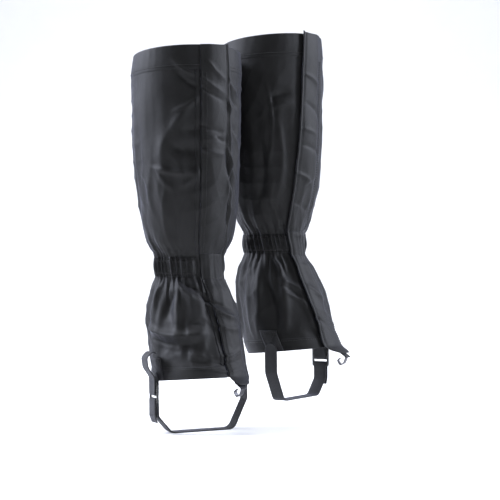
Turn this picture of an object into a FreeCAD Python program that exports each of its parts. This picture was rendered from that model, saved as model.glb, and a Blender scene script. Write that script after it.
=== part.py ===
"""A pair of knee-high front-opening gaiters, in millimetres, +Z up.

Each gaiter is drawn in its own axes: x to the outer side of the leg, y forward, z up from
the underside of the right instep strap. The pair then stands side by side, toes to -Y.
Heights in LEVELS and in the sleeve's pieces are counted from the bottom hem.
"""
import FreeCAD, Part
import math
import os
import Sketcher

os.makedirs("parts", exist_ok=True)
doc = FreeCAD.newDocument("gaiters")
Vector = FreeCAD.Vector

# ---------------------------------------------------------------- driving dimensions
DIMENSIONS = {
    "hem_level": 70.0,
    "leg_spacing": 154.0,
    "toe_out": 15.0,
    "left_step_up": 30.0,
    "pair_back": 19.64,
    "fabric": 1.2,
    "skin_gap": 0.15,
    "seam_gap": 0.7,
    "tape_gap": 0.85,
    "panel_bottom": -0.4,
    "panel_top": 404.0,
    "panel_front": 4.0,
    "seam_half_gap": 0.25,
    "lining_room": 1.5,
    "underlap_thick": 1.15,
    "underlap_inner": -11.0,
    "underlap_outer": 12.0,
    "rear_tape_thick": 0.8,
    "rear_tape_half": 5.5,
    "sleeve_top": 430.0,
    "band_bottom": 400.0,
    "band_wall": 1.0,
    "band_fold": 1.5,
    "band_elastic_low": 406.0,
    "band_elastic_high": 428.0,
    "band_elastic_room": 0.1,
    "binding_bottom": -2.0,
    "binding_top": 14.0,
    "casing_bottom": 134.0,
    "casing_top": 160.0,
    "casing_wall": 1.0,
    "casing_edge": 3.0,
    "waist_elastic_thick": 0.95,
    "waist_elastic_room": 0.6,
    "opening_outer": 8.6,
    "opening_inner": -6.0,
    "past_end": 2.0,
    "seam_strip_start": 1.2,
    "seam_strip_end": 5.4,
    "seam_strip_thick": 0.5,
    "tape_start": -21.0,
    "tape_end": -8.0,
    "tape_room": 3.0,
    "loop_tape_thick": 0.7,
    "hook_tape_thick": 0.8,
    "hook_tape_gap": 0.45,
    "flap_lift": 3.2,
    "flap_sewn_lift": 0.6,
    "flap_sewn_angle": 9.0,
    "flap_lift_turn": 13.0,
    "flap_top": 431.5,
    "flap_low_end": 125.5,
    "flap_shut_bottom": 127.5,
    "flap_shut_top": 166.5,
    "flap_high_start": 167.5,
    "web_width": 20.0,
    "web_thick": 1.5,
    "anchor_thick": 1.3,
    "anchor_gap": 0.1,
    "anchor_turn": 10.5,
    "anchor_middle": 82.5,
    "anchor_bottom": -1.5,
    "anchor_top": 27.0,
    "strap_inside": 62.7,
    "strap_ahead": 34.0,
    "strap_end_round": 9.6,
    "sole_half_width": 44.0,
    "inner_bend_level": 40.0,
    "outer_bend_level": 23.0,
    "inner_bend": 14.0,
    "sole_bend": 11.0,
    "outer_bend": 8.0,
    "fold_bend": 4.0,
    "fold_end_level": 15.0,
    "fold_end_gap": 0.3,
    "buckle_width": 27.0,
    "buckle_height": 27.0,
    "buckle_thick": 3.0,
    "buckle_bottom": 40.0,
    "buckle_inside": 64.5,
    "buckle_corner": 2.5,
    "slot_width": 21.4,
    "low_slot_bottom": 4.0,
    "low_slot_height": 9.0,
    "high_slot_bottom": 16.5,
    "high_slot_height": 6.5,
    "tail_clear": 1.0,
    "tail_straight": 6.0,
    "tail_out": 9.0,
    "tail_slope": 13.0,
    "tail_rise": 13.0,
    "tail_lean": 1.5,
    "tail_top": 39.5,
    "tail_top_back": 7.5,
    "tail_end_back": 7.0,
    "tail_end_drop": 3.0,
    "hook_width": 8.0,
    "hook_thick": 1.1,
    "hook_curl": 3.2,
    "hook_shank": 9.0,
    "hook_plate": 10.0,
    "hook_bulge": 1.5,
    "hook_back": 2.0,
    "hook_tip": 1.5,
    "hook_start": 2.0,
    "hook_gap": 0.05,
    "hook_slope": 34.0,
    "hook_level": 68.6,
    "right_hook_inward": 25.0,
    "right_hook_ahead": 97.0,
    "right_hook_turn": 25.0,
    "left_hook_inward": -3.0,
    "left_hook_ahead": 105.5,
    "left_hook_turn": -3.0,
    "tab_width": 13.0,
    "tab_length": 14.0,
    "tab_thick": 1.4,
    "rivet_radius": 2.4,
    "rivet_height": 0.9,
    "rivet_at": 6.0,
    "rivet_gap": 0.02,
}

# Columns: height above the hem, half width, half depth, how far the middle lies ahead of
# the leg's axis, how much the front is raised, the angles from straight ahead of the
# flap's sewn edge (outer side) and free edge (inner side), and how far the right and the
# left gaiter are turned round the leg there, as they settle on a worn pair.
COLUMNS = (
    "height", "half_width", "half_depth", "ahead", "rise", "sewn", "free", "right_turn", "left_turn",
)
LEVELS = {
    "tab": (-12.0, 60.0, 71.0, 41.0, 8.0, 0.0, -34.0, -12.0, 14.0),
    "hem": (0.0, 60.0, 66.0, 30.5, 6.0, 4.0, -40.0, -15.5, 17.0),
    "instep": (30.0, 60.5, 66.0, 18.5, 3.0, 4.0, -38.0, -14.6, 18.0),
    "ankle": (75.0, 61.5, 61.5, 9.0, 0.5, 4.5, -39.0, -12.4, 16.0),
    "tuck": (114.0, 52.5, 51.5, 0.5, 0.0, 8.0, -38.0, -10.0, 14.0),
    "elastic": (135.0, 46.0, 41.5, 0.0, 0.0, 9.5, -38.0, -8.0, 12.0),
    "gather": (158.0, 47.0, 42.0, -0.5, 0.0, 9.5, -38.0, -6.0, 6.5),
    "shin": (183.0, 58.5, 51.0, -1.0, 0.0, 9.0, -34.0, -2.0, 2.0),
    "low_calf": (240.0, 68.5, 66.0, -2.0, 0.0, 8.5, -30.0, 0.0, 0.0),
    "calf": (320.0, 73.5, 73.0, -4.5, 1.0, 8.5, -26.0, 0.0, 1.0),
    "high_calf": (400.0, 74.5, 73.0, -4.0, 4.0, 8.5, -23.5, 0.0, 2.0),
    "rim": (430.0, 72.0, 69.0, -2.0, 6.0, 8.5, -23.5, 0.0, 4.0),
    "lip": (442.0, 71.0, 68.0, -1.5, 6.5, 8.5, -23.5, 0.0, 4.0),
}
LEVEL_STEP = 6.0
ARC_STEP = 7.0
REAR = 180.0
WHOLE_TURN = 360.0
SIDES = {"right": 1, "left": -1}
TAIL_BENDS = [12.0, 15.0, 6.5, 5.0]
SHARE_OF_PLATE = 0.18
SHARE_OF_CURL = 0.8
NEARLY = 0.999  # a bend this much under the full turn leaves a straight sliver, not nothing
MOSTLY = 0.99
CLOSE = 0.2


def fill_sheet():
    """Write every driving dimension into the spreadsheet, one named cell each."""
    sheet = doc.addObject("Spreadsheet::Sheet", "Sizes")
    rows = list(DIMENSIONS.items())
    for level, values in LEVELS.items():
        rows += [(level + "_" + column, value) for column, value in zip(COLUMNS, values)]
    for number, (name, value) in enumerate(rows, start=1):
        sheet.set("A%d" % number, name)
        sheet.set("B%d" % number, str(value))
        sheet.setAlias("B%d" % number, name)
    doc.recompute()
    return sheet


SHEET = fill_sheet()


def size(name):
    return float(SHEET.get(name))


TABLE = {column: [size(level + "_" + column) for level in LEVELS] for column in COLUMNS}


# ---------------------------------------------------------------- the sleeve's surface
def smooth(column, height):
    """Value of one column at any height: a cubic that never overshoots the table."""
    heights, values = TABLE["height"], TABLE[column]
    height = min(max(height, heights[0]), heights[-1])
    steps = [b - a for a, b in zip(heights, heights[1:])]
    slopes = [(b - a) / step for a, b, step in zip(values, values[1:], steps)]
    tangents = [slopes[0]]
    for before, after in zip(slopes, slopes[1:]):
        same_way = before * after > 0
        tangents.append(2 * before * after / (before + after) if same_way else 0.0)
    tangents.append(slopes[-1])
    k = max(i for i in range(len(steps)) if heights[i] <= height + 1e-9)
    part = (height - heights[k]) / steps[k]
    start = (1 + 2 * part) * (1 - part) ** 2 * values[k]
    start += part * (1 - part) ** 2 * steps[k] * tangents[k]
    end = part ** 2 * (3 - 2 * part) * values[k + 1]
    end += part ** 2 * (part - 1) * steps[k] * tangents[k + 1]
    return start + end


def turned(side, height):
    """Degrees by which the gaiter is turned round the leg at a height."""
    return smooth("right_turn" if side > 0 else "left_turn", height)


def wall_point(side, angle, height, offset):
    """Point a distance outside the sleeve, at an angle from the gaiter's front (outer side +)."""
    half_width, half_depth = smooth("half_width", height), smooth("half_depth", height)
    turn = math.radians(angle + turned(side, height))
    normal = Vector(math.sin(turn) / half_width, math.cos(turn) / half_depth, 0)
    normal.normalize()
    x = half_width * math.sin(turn) + offset * normal.x
    forward = half_depth * math.cos(turn) + offset * normal.y
    z = size("hem_level") + height + smooth("rise", height) * forward / half_depth
    return Vector(side * x, smooth("ahead", height) + forward, z)


def even_steps(start, end, step):
    count = max(1, math.ceil(abs(end - start) / step))
    return [start + (end - start) * i / count for i in range(count + 1)]


def skin(side, limits, levels, offset):
    """Smooth surface over the sleeve, through points at each level and angle."""
    low, high = limits(levels[0])
    count = max(2, math.ceil(abs(high - low) / ARC_STEP))
    rows = []
    for level in levels:
        low, high = limits(level)
        steps = [low + (high - low) * i / count for i in range(count + 1)]
        rows.append([wall_point(side, angle, level, offset(angle)) for angle in steps])
    surface = Part.BSplineSurface()
    surface.interpolate(rows)
    return surface


def borders(surface):
    """The four edges of a surface: lowest, highest, first and last."""
    u_start, u_end, v_start, v_end = surface.bounds()
    curves = (surface.uIso(u_start), surface.uIso(u_end), surface.vIso(v_start), surface.vIso(v_end))
    return [curve.toShape() for curve in curves]


def wall(side, angles, heights, inner, outer):
    """Solid that follows the sleeve between two angles, two heights and two offsets."""
    limits = angles if callable(angles) else (lambda height: angles)
    inner_at = inner if callable(inner) else (lambda angle: inner)
    outer_at = outer if callable(outer) else (lambda angle: outer)
    levels = even_steps(heights[0], heights[1], LEVEL_STEP)
    if len(levels) < 3:
        levels = even_steps(heights[0], heights[1], abs(heights[1] - heights[0]) / 2)
    skins = [skin(side, limits, levels, offset) for offset in (inner_at, outer_at)]
    faces = [surface.toShape() for surface in skins]
    for inner_edge, outer_edge in zip(*(borders(surface) for surface in skins)):
        faces.append(Part.makeRuledSurface(inner_edge, outer_edge))
    shell = Part.makeShell(faces)
    shell.sewShape()
    solid = Part.makeSolid(shell)
    if solid.Volume < 0:
        solid.reverse()
    return solid


# ---------------------------------------------------------------- placing and naming
def stand(side):
    """Placement that carries a gaiter's own axes to its place in the pair."""
    turn = 180.0 - side * size("toe_out")
    across = -side * size("leg_spacing") / 2
    up = 0.0 if side > 0 else size("left_step_up")
    place = Vector(across, size("pair_back"), up)
    return FreeCAD.Placement(place, FreeCAD.Rotation(Vector(0, 0, 1), turn))


NODES = {}


def keep(node, thing, side, place=None):
    """Name a finished sub-part after its node and stand it in the pair."""
    thing.Label = node
    thing.Placement = stand(side).multiply(place or FreeCAD.Placement())
    NODES[node] = thing


def wall_piece(name, side_name, shape):
    node = side_name + "_" + name
    thing = doc.addObject("Part::Feature", node)
    thing.Shape = shape if shape.ShapeType == "Solid" else shape.Solids[0]
    keep(node, thing, SIDES[side_name])


def open_round(start=None):
    """Angles of a wall that runs from the front opening round the back of the leg."""
    first = size("opening_outer") if start is None else start
    return (first, 360.0 + size("opening_inner"))


# ---------------------------------------------------------------- sleeve
def make_panels(side_name):
    side = SIDES[side_name]
    heights = (size("panel_bottom"), size("panel_top"))
    half_gap = size("seam_half_gap")
    outer_angles = (size("panel_front"), REAR - half_gap)
    inner_angles = (REAR + half_gap, WHOLE_TURN + size("opening_inner"))
    for name, angles in (("outer_panel", outer_angles), ("inner_panel", inner_angles)):
        shape = wall(side, angles, heights, -size("fabric"), 0.0)
        wall_piece(name, side_name, shape)


def make_linings(side_name):
    """The strip behind the front opening and the tape inside the rear seam."""
    side = SIDES[side_name]
    room = size("lining_room")
    heights = (size("binding_top") + room, size("band_bottom") - room)
    outer = -size("fabric") - size("skin_gap")
    angles = (size("underlap_inner"), size("underlap_outer"))
    underlap = wall(side, angles, heights, outer - size("underlap_thick"), outer)
    wall_piece("front_underlap", side_name, underlap)
    angles = (REAR - size("rear_tape_half"), REAR + size("rear_tape_half"))
    rear_tape = wall(side, angles, heights, outer - size("rear_tape_thick"), outer)
    wall_piece("rear_seam_tape", side_name, rear_tape)


def folded_band(side, angles, heights, open_end):
    """A band folded over the sleeve's edge: two walls with a channel open at one end."""
    outer = size("skin_gap")
    inner = -size("fabric") - size("skin_gap")
    whole = wall(side, angles, heights, inner - size("band_wall"), outer + size("band_wall"))
    past, fold = size("past_end"), size("band_fold")
    bottom, top = heights
    channel = (bottom - past, top - fold) if open_end == "bottom" else (bottom + fold, top + past)
    longer = (angles[0] - past, angles[1] + past)
    return whole.cut(wall(side, longer, channel, inner, outer))


def make_top_band(side_name):
    side = SIDES[side_name]
    heights = (size("band_bottom"), size("sleeve_top"))
    wall_piece("top_hem_band", side_name, folded_band(side, open_round(), heights, "bottom"))
    heights = (size("band_elastic_low"), size("band_elastic_high"))
    room = size("band_elastic_room")
    start = size("opening_outer") + size("past_end")
    elastic = wall(side, open_round(start), heights, room - size("fabric"), -room)
    wall_piece("top_elastic", side_name, elastic)


def make_hem_binding(side_name):
    heights = (size("binding_bottom"), size("binding_top"))
    band = folded_band(SIDES[side_name], open_round(), heights, "top")
    wall_piece("bottom_hem_binding", side_name, band)


def make_waist(side_name):
    """The elastic round the waist, in a casing whose long edges are sewn to the panels."""
    side = SIDES[side_name]
    gap, thick, edge = size("skin_gap"), size("waist_elastic_thick"), size("casing_edge")
    past = size("past_end")
    low, high = size("casing_bottom"), size("casing_top")
    angles = open_round(size("seam_strip_end") + smooth("sewn", low))
    outside = thick + 3 * gap
    casing = wall(side, angles, (low, high), gap, outside + size("casing_wall"))
    longer = (angles[0] - past, angles[1] + past)
    channel = wall(side, longer, (low + edge, high - edge), gap - size("casing_wall"), outside)
    wall_piece("waist_casing", side_name, casing.cut(channel))
    room = edge + size("waist_elastic_room")
    within = (angles[0] + past, angles[1] - past)
    elastic = wall(side, within, (low + room, high - room), 2 * gap, 2 * gap + thick)
    wall_piece("waist_elastic", side_name, elastic)


def seam_strip_angles(height):
    sewn = smooth("sewn", height)
    return (sewn + size("seam_strip_start"), sewn + size("seam_strip_end"))


def make_seam_strip(side_name):
    """The folded seam along which the flap is sewn to the outer panel."""
    side = SIDES[side_name]
    past, gap = size("past_end"), size("seam_gap")
    runs = {
        "flap_seam_low": (size("binding_top") + past, size("casing_bottom") - past),
        "flap_seam_high": (size("casing_top") + past, size("band_bottom") - past),
    }
    for name, heights in runs.items():
        outer = gap + size("seam_strip_thick")
        wall_piece(name, side_name, wall(side, seam_strip_angles, heights, gap, outer))


def make_closure_tapes(side_name):
    """Loop tape on the inner panel; hook tape inside each opening length of the flap."""
    side = SIDES[side_name]
    angles = (size("tape_start"), size("tape_end"))
    room, gap = size("tape_room"), size("tape_gap")
    loop_runs = {
        "low": (size("binding_top") + room, size("casing_bottom") - room),
        "high": (size("casing_top") + room, size("band_bottom") - room),
    }
    for name, heights in loop_runs.items():
        loop = wall(side, angles, heights, gap, gap + size("loop_tape_thick"))
        wall_piece("loop_tape_" + name, side_name, loop)
    hook_runs = {
        "low": (size("binding_top") + room, size("flap_low_end") - room),
        "high": (size("flap_high_start") + room, size("band_bottom") - room),
    }
    outer = size("flap_lift") - size("hook_tape_gap")
    for name, heights in hook_runs.items():
        hook = wall(side, angles, heights, outer - size("hook_tape_thick"), outer)
        wall_piece("hook_tape_" + name, side_name, hook)


# ---------------------------------------------------------------- storm flap
def flap_inside(angle):
    """The flap lies near the sleeve at its sewn edge and rises over the tapes."""
    from_edge = (size("flap_sewn_angle") - angle) / size("flap_lift_turn")
    part = min(1.0, max(0.0, from_edge))
    low = size("flap_sewn_lift")
    return low + (size("flap_lift") - low) * part * part * (3 - 2 * part)


def flap_outside(angle):
    return flap_inside(angle) + size("fabric")


def flap_angles(height):
    return (smooth("free", height), smooth("sewn", height))


def make_flap(side_name):
    side = SIDES[side_name]
    runs = {
        "flap_high": (size("flap_high_start"), size("flap_top")),
        "flap_waist": (size("flap_shut_bottom"), size("flap_shut_top")),
        "flap_low": (TABLE["height"][0], size("flap_low_end")),
    }
    for name, heights in runs.items():
        shape = wall(side, flap_angles, heights, flap_inside, flap_outside)
        wall_piece(name, side_name, shape)


# ---------------------------------------------------------------- drawn bodies
def new_body(node, plane_role):
    """A body with one sketch on one of its own origin planes."""
    body = doc.addObject("PartDesign::Body", node)
    sketch = body.newObject("Sketcher::SketchObject", node + "_outline")
    plane = [item for item in body.Origin.OriginFeatures if item.Role == plane_role][0]
    sketch.AttachmentSupport = [(plane, "")]
    sketch.MapMode = "FlatFace"
    return body, sketch


def pad(body, sketch, length):
    feature = body.newObject("PartDesign::Pad", body.Name + "_pad")
    feature.Profile = sketch
    feature.SideType = "Symmetric"
    feature.setExpression("Length", length)
    doc.recompute()
    return feature


def round_edges(body, base, radius, chosen):
    """Round the edges that run across a strap or buckle and that chosen(middle) picks."""
    names = []
    for number, edge in enumerate(base.Shape.Edges, start=1):
        across = abs(edge.tangentAt(edge.FirstParameter).x) > MOSTLY
        if across and chosen(edge.CenterOfMass):
            names.append("Edge%d" % number)
    feature = body.newObject("PartDesign::Fillet", body.Name + "_round")
    feature.Base = (base, names)
    feature.setExpression("Radius", radius)
    doc.recompute()
    return feature


def ribbon(points, radii, thickness):
    """Edges of a bent strip's outline: straight runs joined by tangent arcs.

    points is the middle line in a sketch's own x and y, radii has one value per bend.
    """
    lines = {1: [], -1: []}
    sides_now = {}
    half = thickness / 2
    start = Vector(*points[0], 0)
    for way in lines:
        along = (Vector(*points[1], 0) - start).normalize()
        sides_now[way] = start + Vector(-along.y, along.x, 0) * half * way
    first = dict(sides_now)
    for before, corner, after, radius in zip(points, points[1:], points[2:], radii):
        before, corner, after = (Vector(*p, 0) for p in (before, corner, after))
        into, out = (corner - before).normalize(), (after - corner).normalize()
        turn = math.atan2(into.x * out.y - into.y * out.x, into.dot(out))
        reach = radius * math.tan(abs(turn) / 2)
        bend_side = 1 if turn > 0 else -1
        tangent_in, tangent_out = corner - into * reach, corner + out * reach
        centre = tangent_in + Vector(-into.y, into.x, 0) * radius * bend_side
        outward = (corner - centre).normalize()
        for way in lines:
            reach_out = radius - half * way * bend_side
            arc_start = centre + (tangent_in - centre).normalize() * reach_out
            arc_end = centre + (tangent_out - centre).normalize() * reach_out
            lines[way].append(Part.LineSegment(sides_now[way], arc_start))
            lines[way].append(Part.Arc(arc_start, centre + outward * reach_out, arc_end))
            sides_now[way] = arc_end
    last, end = (Vector(*p, 0) for p in points[-2:])
    along = (end - last).normalize()
    finish = {way: end + Vector(-along.y, along.x, 0) * half * way for way in lines}
    for way in lines:
        lines[way].append(Part.LineSegment(sides_now[way], finish[way]))
    caps = [Part.LineSegment(first[1], first[-1]), Part.LineSegment(finish[1], finish[-1])]
    return lines[1] + lines[-1] + caps


def strap_body(node, side, points, radii, rounded=None):
    """A webbing strap bent in the plane across the leg, wide along the foot."""
    body, sketch = new_body(node, "XZ_Plane")
    outline = ribbon([(side * x, z) for x, z in points], radii, size("web_thick"))
    sketch.addGeometry(outline, False)
    feature = pad(body, sketch, "Sizes.web_width")
    if rounded is not None:
        at_end = lambda middle: abs(middle.z - rounded) < CLOSE
        feature = round_edges(body, feature, "Sizes.strap_end_round", at_end)
    body.Tip = feature
    ahead = FreeCAD.Placement(Vector(0, size("strap_ahead"), 0), FreeCAD.Rotation())
    keep(node, body, side, ahead)


# ---------------------------------------------------------------- instep strap and buckle
def strap_planes():
    """Middle of the strap behind and in front of the buckle, and its turn round a bar."""
    leg = size("strap_inside") + size("web_thick") / 2
    front = 2 * (size("buckle_inside") + size("buckle_thick") / 2) - leg
    return leg, front, (front - leg) / 2 * NEARLY


def make_strap(side_name):
    """Under-foot strap: from the inner hem, under the sole and round the buckle's low bar."""
    side = SIDES[side_name]
    half = size("web_thick") / 2
    leg, front, turn = strap_planes()
    top = size("hem_level") + size("web_width") / 2
    sole = size("sole_half_width")
    over_bar = size("buckle_bottom") + size("low_slot_bottom") + (front - leg) / 2
    points = [
        (-leg, top), (-leg, size("inner_bend_level")), (-sole, half), (sole, half),
        (leg, size("outer_bend_level")), (leg, over_bar), (front, over_bar),
        (front, size("outer_bend_level") + half), (leg + size("fold_end_gap"), size("fold_end_level")),
    ]
    sole_bend = size("sole_bend")
    bends = [size("inner_bend"), sole_bend, sole_bend, size("outer_bend")]
    bends += [turn, turn, size("fold_bend")]
    strap_body(side_name + "_instep_strap", side, points, bends, top)


def make_adjuster(side_name):
    """Outer strap: from the outer hem down round the buckle's middle bar, and its loose tail."""
    side = SIDES[side_name]
    leg, front, turn = strap_planes()
    slot_top = size("low_slot_bottom") + size("low_slot_height")
    low = size("buckle_bottom") + slot_top - (front - leg) / 2
    top = size("hem_level") + size("web_width") / 2
    start = size("buckle_bottom") + size("buckle_height") + size("tail_clear")
    points = [(leg, top), (leg, low), (front, low), (front, start)]
    strap_body(side_name + "_adjuster_strap", side, points, [turn, turn], top)

    straight = start + size("tail_straight")
    bowed, bowed_up = front + size("tail_out"), straight + size("tail_slope")
    widest, widest_up = bowed + size("tail_lean"), bowed_up + size("tail_rise")
    over, over_up = widest - size("tail_top_back"), start + size("tail_top")
    tip, tip_up = over - size("tail_end_back"), over_up - size("tail_end_drop")
    tail = [
        (front, start), (front, straight), (bowed, bowed_up),
        (widest, widest_up), (over, over_up), (tip, tip_up),
    ]
    strap_body(side_name + "_strap_tail", side, tail, TAIL_BENDS)


def add_box_outline(sketch, width, height, base):
    """A centred rectangle with its width, height and base held by named constraints."""
    half = 5.0
    corners = [Vector(-half, 1, 0), Vector(half, 1, 0), Vector(half, 6, 0), Vector(-half, 6, 0)]
    first = sketch.GeometryCount
    for a, b in zip(corners, corners[1:] + corners[:1]):
        sketch.addGeometry(Part.LineSegment(a, b), False)
    bottom, right, top, left = range(first, first + 4)
    joints = ((bottom, right), (right, top), (top, left), (left, bottom))
    rules = [("Coincident", one, 2, other, 1) for one, other in joints]
    rules += [("Horizontal", top), ("Vertical", left), ("Vertical", right)]
    rules.append(("Symmetric", bottom, 1, bottom, 2, -2))
    for rule in rules:
        sketch.addConstraint(Sketcher.Constraint(*rule))
    wide = sketch.addConstraint(Sketcher.Constraint("DistanceX", bottom, 1, bottom, 2, 2 * half))
    tall = sketch.addConstraint(Sketcher.Constraint("DistanceY", right, 1, right, 2, half))
    low = sketch.addConstraint(Sketcher.Constraint("DistanceY", -1, 1, bottom, 1, 1.0))
    for number, expression in ((wide, width), (tall, height), (low, base)):
        sketch.setExpression("Constraints[%d]" % number, expression)


def make_buckle(side_name):
    """Ladder buckle: a frame across the strap with a low, a middle and a top bar."""
    side = SIDES[side_name]
    node = side_name + "_buckle"
    body, frame = new_body(node, "YZ_Plane")
    add_box_outline(frame, "Sizes.buckle_width", "Sizes.buckle_height", "Sizes.buckle_bottom")
    block = pad(body, frame, "Sizes.buckle_thick")
    before = block.Shape.Volume
    slots = body.newObject("Sketcher::SketchObject", node + "_slots")
    slots.AttachmentSupport = frame.AttachmentSupport
    slots.MapMode = "FlatFace"
    for name in ("low_slot", "high_slot"):
        base = "Sizes.buckle_bottom + Sizes.%s_bottom" % name
        add_box_outline(slots, "Sizes.slot_width", "Sizes.%s_height" % name, base)
    pocket = body.newObject("PartDesign::Pocket", node + "_pocket")
    pocket.Profile = slots
    pocket.Type = "ThroughAll"
    pocket.SideType = "Symmetric"
    doc.recompute()
    slot_area = size("slot_width") * (size("low_slot_height") + size("high_slot_height"))
    cut_away = before - pocket.Shape.Volume
    if abs(cut_away - slot_area * size("buckle_thick")) > 1.0:
        raise RuntimeError(node + ": the slots are not cut through")
    edge_limit = size("buckle_width") / 2 - CLOSE
    at_corner = lambda middle: abs(middle.y) > edge_limit
    body.Tip = round_edges(body, pocket, "Sizes.buckle_corner", at_corner)
    across = side * (size("buckle_inside") + size("buckle_thick") / 2)
    keep(node, body, side, FreeCAD.Placement(Vector(across, size("strap_ahead"), 0), FreeCAD.Rotation()))


def make_anchors(side_name):
    """Webbing patches on the hem that carry the two ends of the strap."""
    side = SIDES[side_name]
    inner = size("skin_gap") + size("band_wall") + size("anchor_gap")
    outer = inner + size("anchor_thick")
    spread = size("anchor_turn")
    heights = (size("anchor_bottom"), size("anchor_top"))
    middle_angle = size("anchor_middle")
    for name, middle in (("outer_strap_anchor", middle_angle), ("inner_strap_anchor", -middle_angle)):
        at_side = lambda height, middle=middle: (
            middle - turned(side, height) - spread, middle - turned(side, height) + spread)
        wall_piece(name, side_name, wall(side, at_side, heights, inner, outer))


# ---------------------------------------------------------------- lace hook
def hook_place(side, along, under):
    """Place of a piece under the flap's tip: along the slope from the tab's top edge."""
    leg = "right_hook_" if side > 0 else "left_hook_"
    swing = FreeCAD.Rotation(Vector(0, 0, 1), side * size(leg + "turn"))
    tilt = FreeCAD.Rotation(Vector(1, 0, 0), -size("hook_slope"))
    start = Vector(-side * size(leg + "inward"), size(leg + "ahead"), size("hook_level"))
    facing = swing.multiply(tilt)
    return FreeCAD.Placement(start + facing.multVec(Vector(0, along, -under)), facing)


def make_lace_hook(side_name):
    """Webbing tab under the flap's tip, a rivet, and a steel hook curled towards the boot."""
    side = SIDES[side_name]
    tab = doc.addObject("Part::Box", side_name + "_lace_hook_tab")
    tab.setExpression("Length", "Sizes.tab_width")
    tab.setExpression("Width", "Sizes.tab_length")
    tab.setExpression("Height", "Sizes.tab_thick")
    thick, gap = size("tab_thick"), size("hook_gap")
    corner = hook_place(side, 0.0, thick)
    corner.Base = corner.multVec(Vector(-size("tab_width") / 2, 0, 0))
    keep(side_name + "_lace_hook_tab", tab, side, corner)

    node = side_name + "_lace_hook"
    body, sketch = new_body(node, "YZ_Plane")
    half = size("hook_thick") / 2
    plate, shank, curl = size("hook_plate"), size("hook_shank"), size("hook_curl")
    bulge, tip = size("hook_bulge"), size("hook_tip")
    back = plate - 2 * curl - size("hook_back")
    points = [
        (0.0, -half), (plate, -half), (plate + bulge, -shank), (plate - 1.0, -shank - 2 * curl),
        (back, -shank - curl), (back + 1.0, tip - shank),
    ]
    bends = [plate * SHARE_OF_PLATE, curl, curl * SHARE_OF_CURL, tip]
    sketch.addGeometry(ribbon(points, bends, size("hook_thick")), False)
    body.Tip = pad(body, sketch, "Sizes.hook_width")
    keep(node, body, side, hook_place(side, size("hook_start"), thick + gap))

    node = side_name + "_lace_hook_rivet"
    rivet, sketch = new_body(node, "XY_Plane")
    circle = Part.Circle(Vector(0, 0, 0), Vector(0, 0, 1), 2.0)
    sketch.addGeometry(circle, False)
    radius = sketch.addConstraint(Sketcher.Constraint("Radius", 0, 2.0))
    sketch.addConstraint(Sketcher.Constraint("Coincident", 0, 3, -1, 1))
    sketch.setExpression("Constraints[%d]" % radius, "Sizes.rivet_radius")
    rivet.Tip = pad(rivet, sketch, "Sizes.rivet_height")
    under = thick + gap + size("hook_thick") + size("rivet_gap") + size("rivet_height") / 2
    keep(node, rivet, side, hook_place(side, size("rivet_at"), under))


# ---------------------------------------------------------------- build, check and write
def check_and_write():
    doc.recompute()
    for thing in doc.Objects:
        if "Invalid" in thing.State or "Error" in thing.State:
            raise RuntimeError("%s failed: %s" % (thing.Label, thing.State))
    for node, thing in NODES.items():
        shape = thing.Shape
        if shape.isNull() or not shape.isValid() or shape.Volume <= 0 or len(shape.Solids) != 1:
            raise RuntimeError("%s has no sound solid" % node)
    for node, thing in NODES.items():
        thing.Shape.exportStep("parts/%s.step" % node)
    print("%d sub-parts written" % len(NODES))


MAKERS = (
    make_panels, make_linings, make_top_band, make_hem_binding, make_waist, make_seam_strip,
    make_closure_tapes, make_flap, make_anchors, make_strap, make_adjuster, make_buckle,
    make_lace_hook,
)
for gaiter in SIDES:
    for make in MAKERS:
        make(gaiter)
check_and_write()
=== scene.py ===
"""Looks of a pair of front-opening knee-high gaiters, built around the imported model.

Sizes are in millimetres in each gaiter's own axes (out: to the outer side of the leg,
ahead: forward, up: height), and become metres in the shared frame in to_world(). A leg is
"right" or "left". Angles are in degrees round the leg, from straight ahead to its outer side.
"""
import bmesh
import bpy
import math
import numpy as np
from mathutils import Matrix, Vector


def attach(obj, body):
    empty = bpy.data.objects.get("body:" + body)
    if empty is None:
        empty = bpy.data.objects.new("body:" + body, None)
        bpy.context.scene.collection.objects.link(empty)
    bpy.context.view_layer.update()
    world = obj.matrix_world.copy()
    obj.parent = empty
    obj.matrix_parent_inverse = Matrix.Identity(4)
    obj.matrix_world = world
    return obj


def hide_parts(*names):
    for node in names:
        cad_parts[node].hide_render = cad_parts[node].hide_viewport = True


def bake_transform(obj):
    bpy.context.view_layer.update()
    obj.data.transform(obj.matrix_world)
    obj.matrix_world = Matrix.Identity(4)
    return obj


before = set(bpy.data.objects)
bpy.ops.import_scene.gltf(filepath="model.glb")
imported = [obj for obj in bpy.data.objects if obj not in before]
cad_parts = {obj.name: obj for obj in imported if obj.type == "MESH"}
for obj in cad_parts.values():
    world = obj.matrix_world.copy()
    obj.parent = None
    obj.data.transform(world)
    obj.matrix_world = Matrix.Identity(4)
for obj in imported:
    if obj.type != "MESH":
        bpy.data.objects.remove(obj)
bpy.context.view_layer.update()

# ------------------------------------------------------------------ sizes, as in the CAD
SIDES = {"right": 1, "left": -1}
MM = 0.001
HEM_LEVEL = 70.0
HALF_SPACING = 77.0
PAIR_BACK = 19.64
TOE_OUT = math.radians(15.0)
LEFT_STEP_UP = 30.0
FABRIC = 1.2
BAND = (400.0, 430.0)
CASING = (134.0, 160.0)
BINDING = (-2.0, 14.0)
BAND_ENDS = (5.0, 354.0)
TAPE_EDGES = (-21.0, -8.0)
FLAP_LOW = (-12.0, 125.5)
FLAP_WAIST = (127.5, 166.5)
FLAP_HIGH = (167.5, 431.5)
FLAP_WIDTH = 44.0
# Millimetres round the sleeve for each degree, as the cloth's own width is measured.
MM_PER_DEGREE = 1.14
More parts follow.
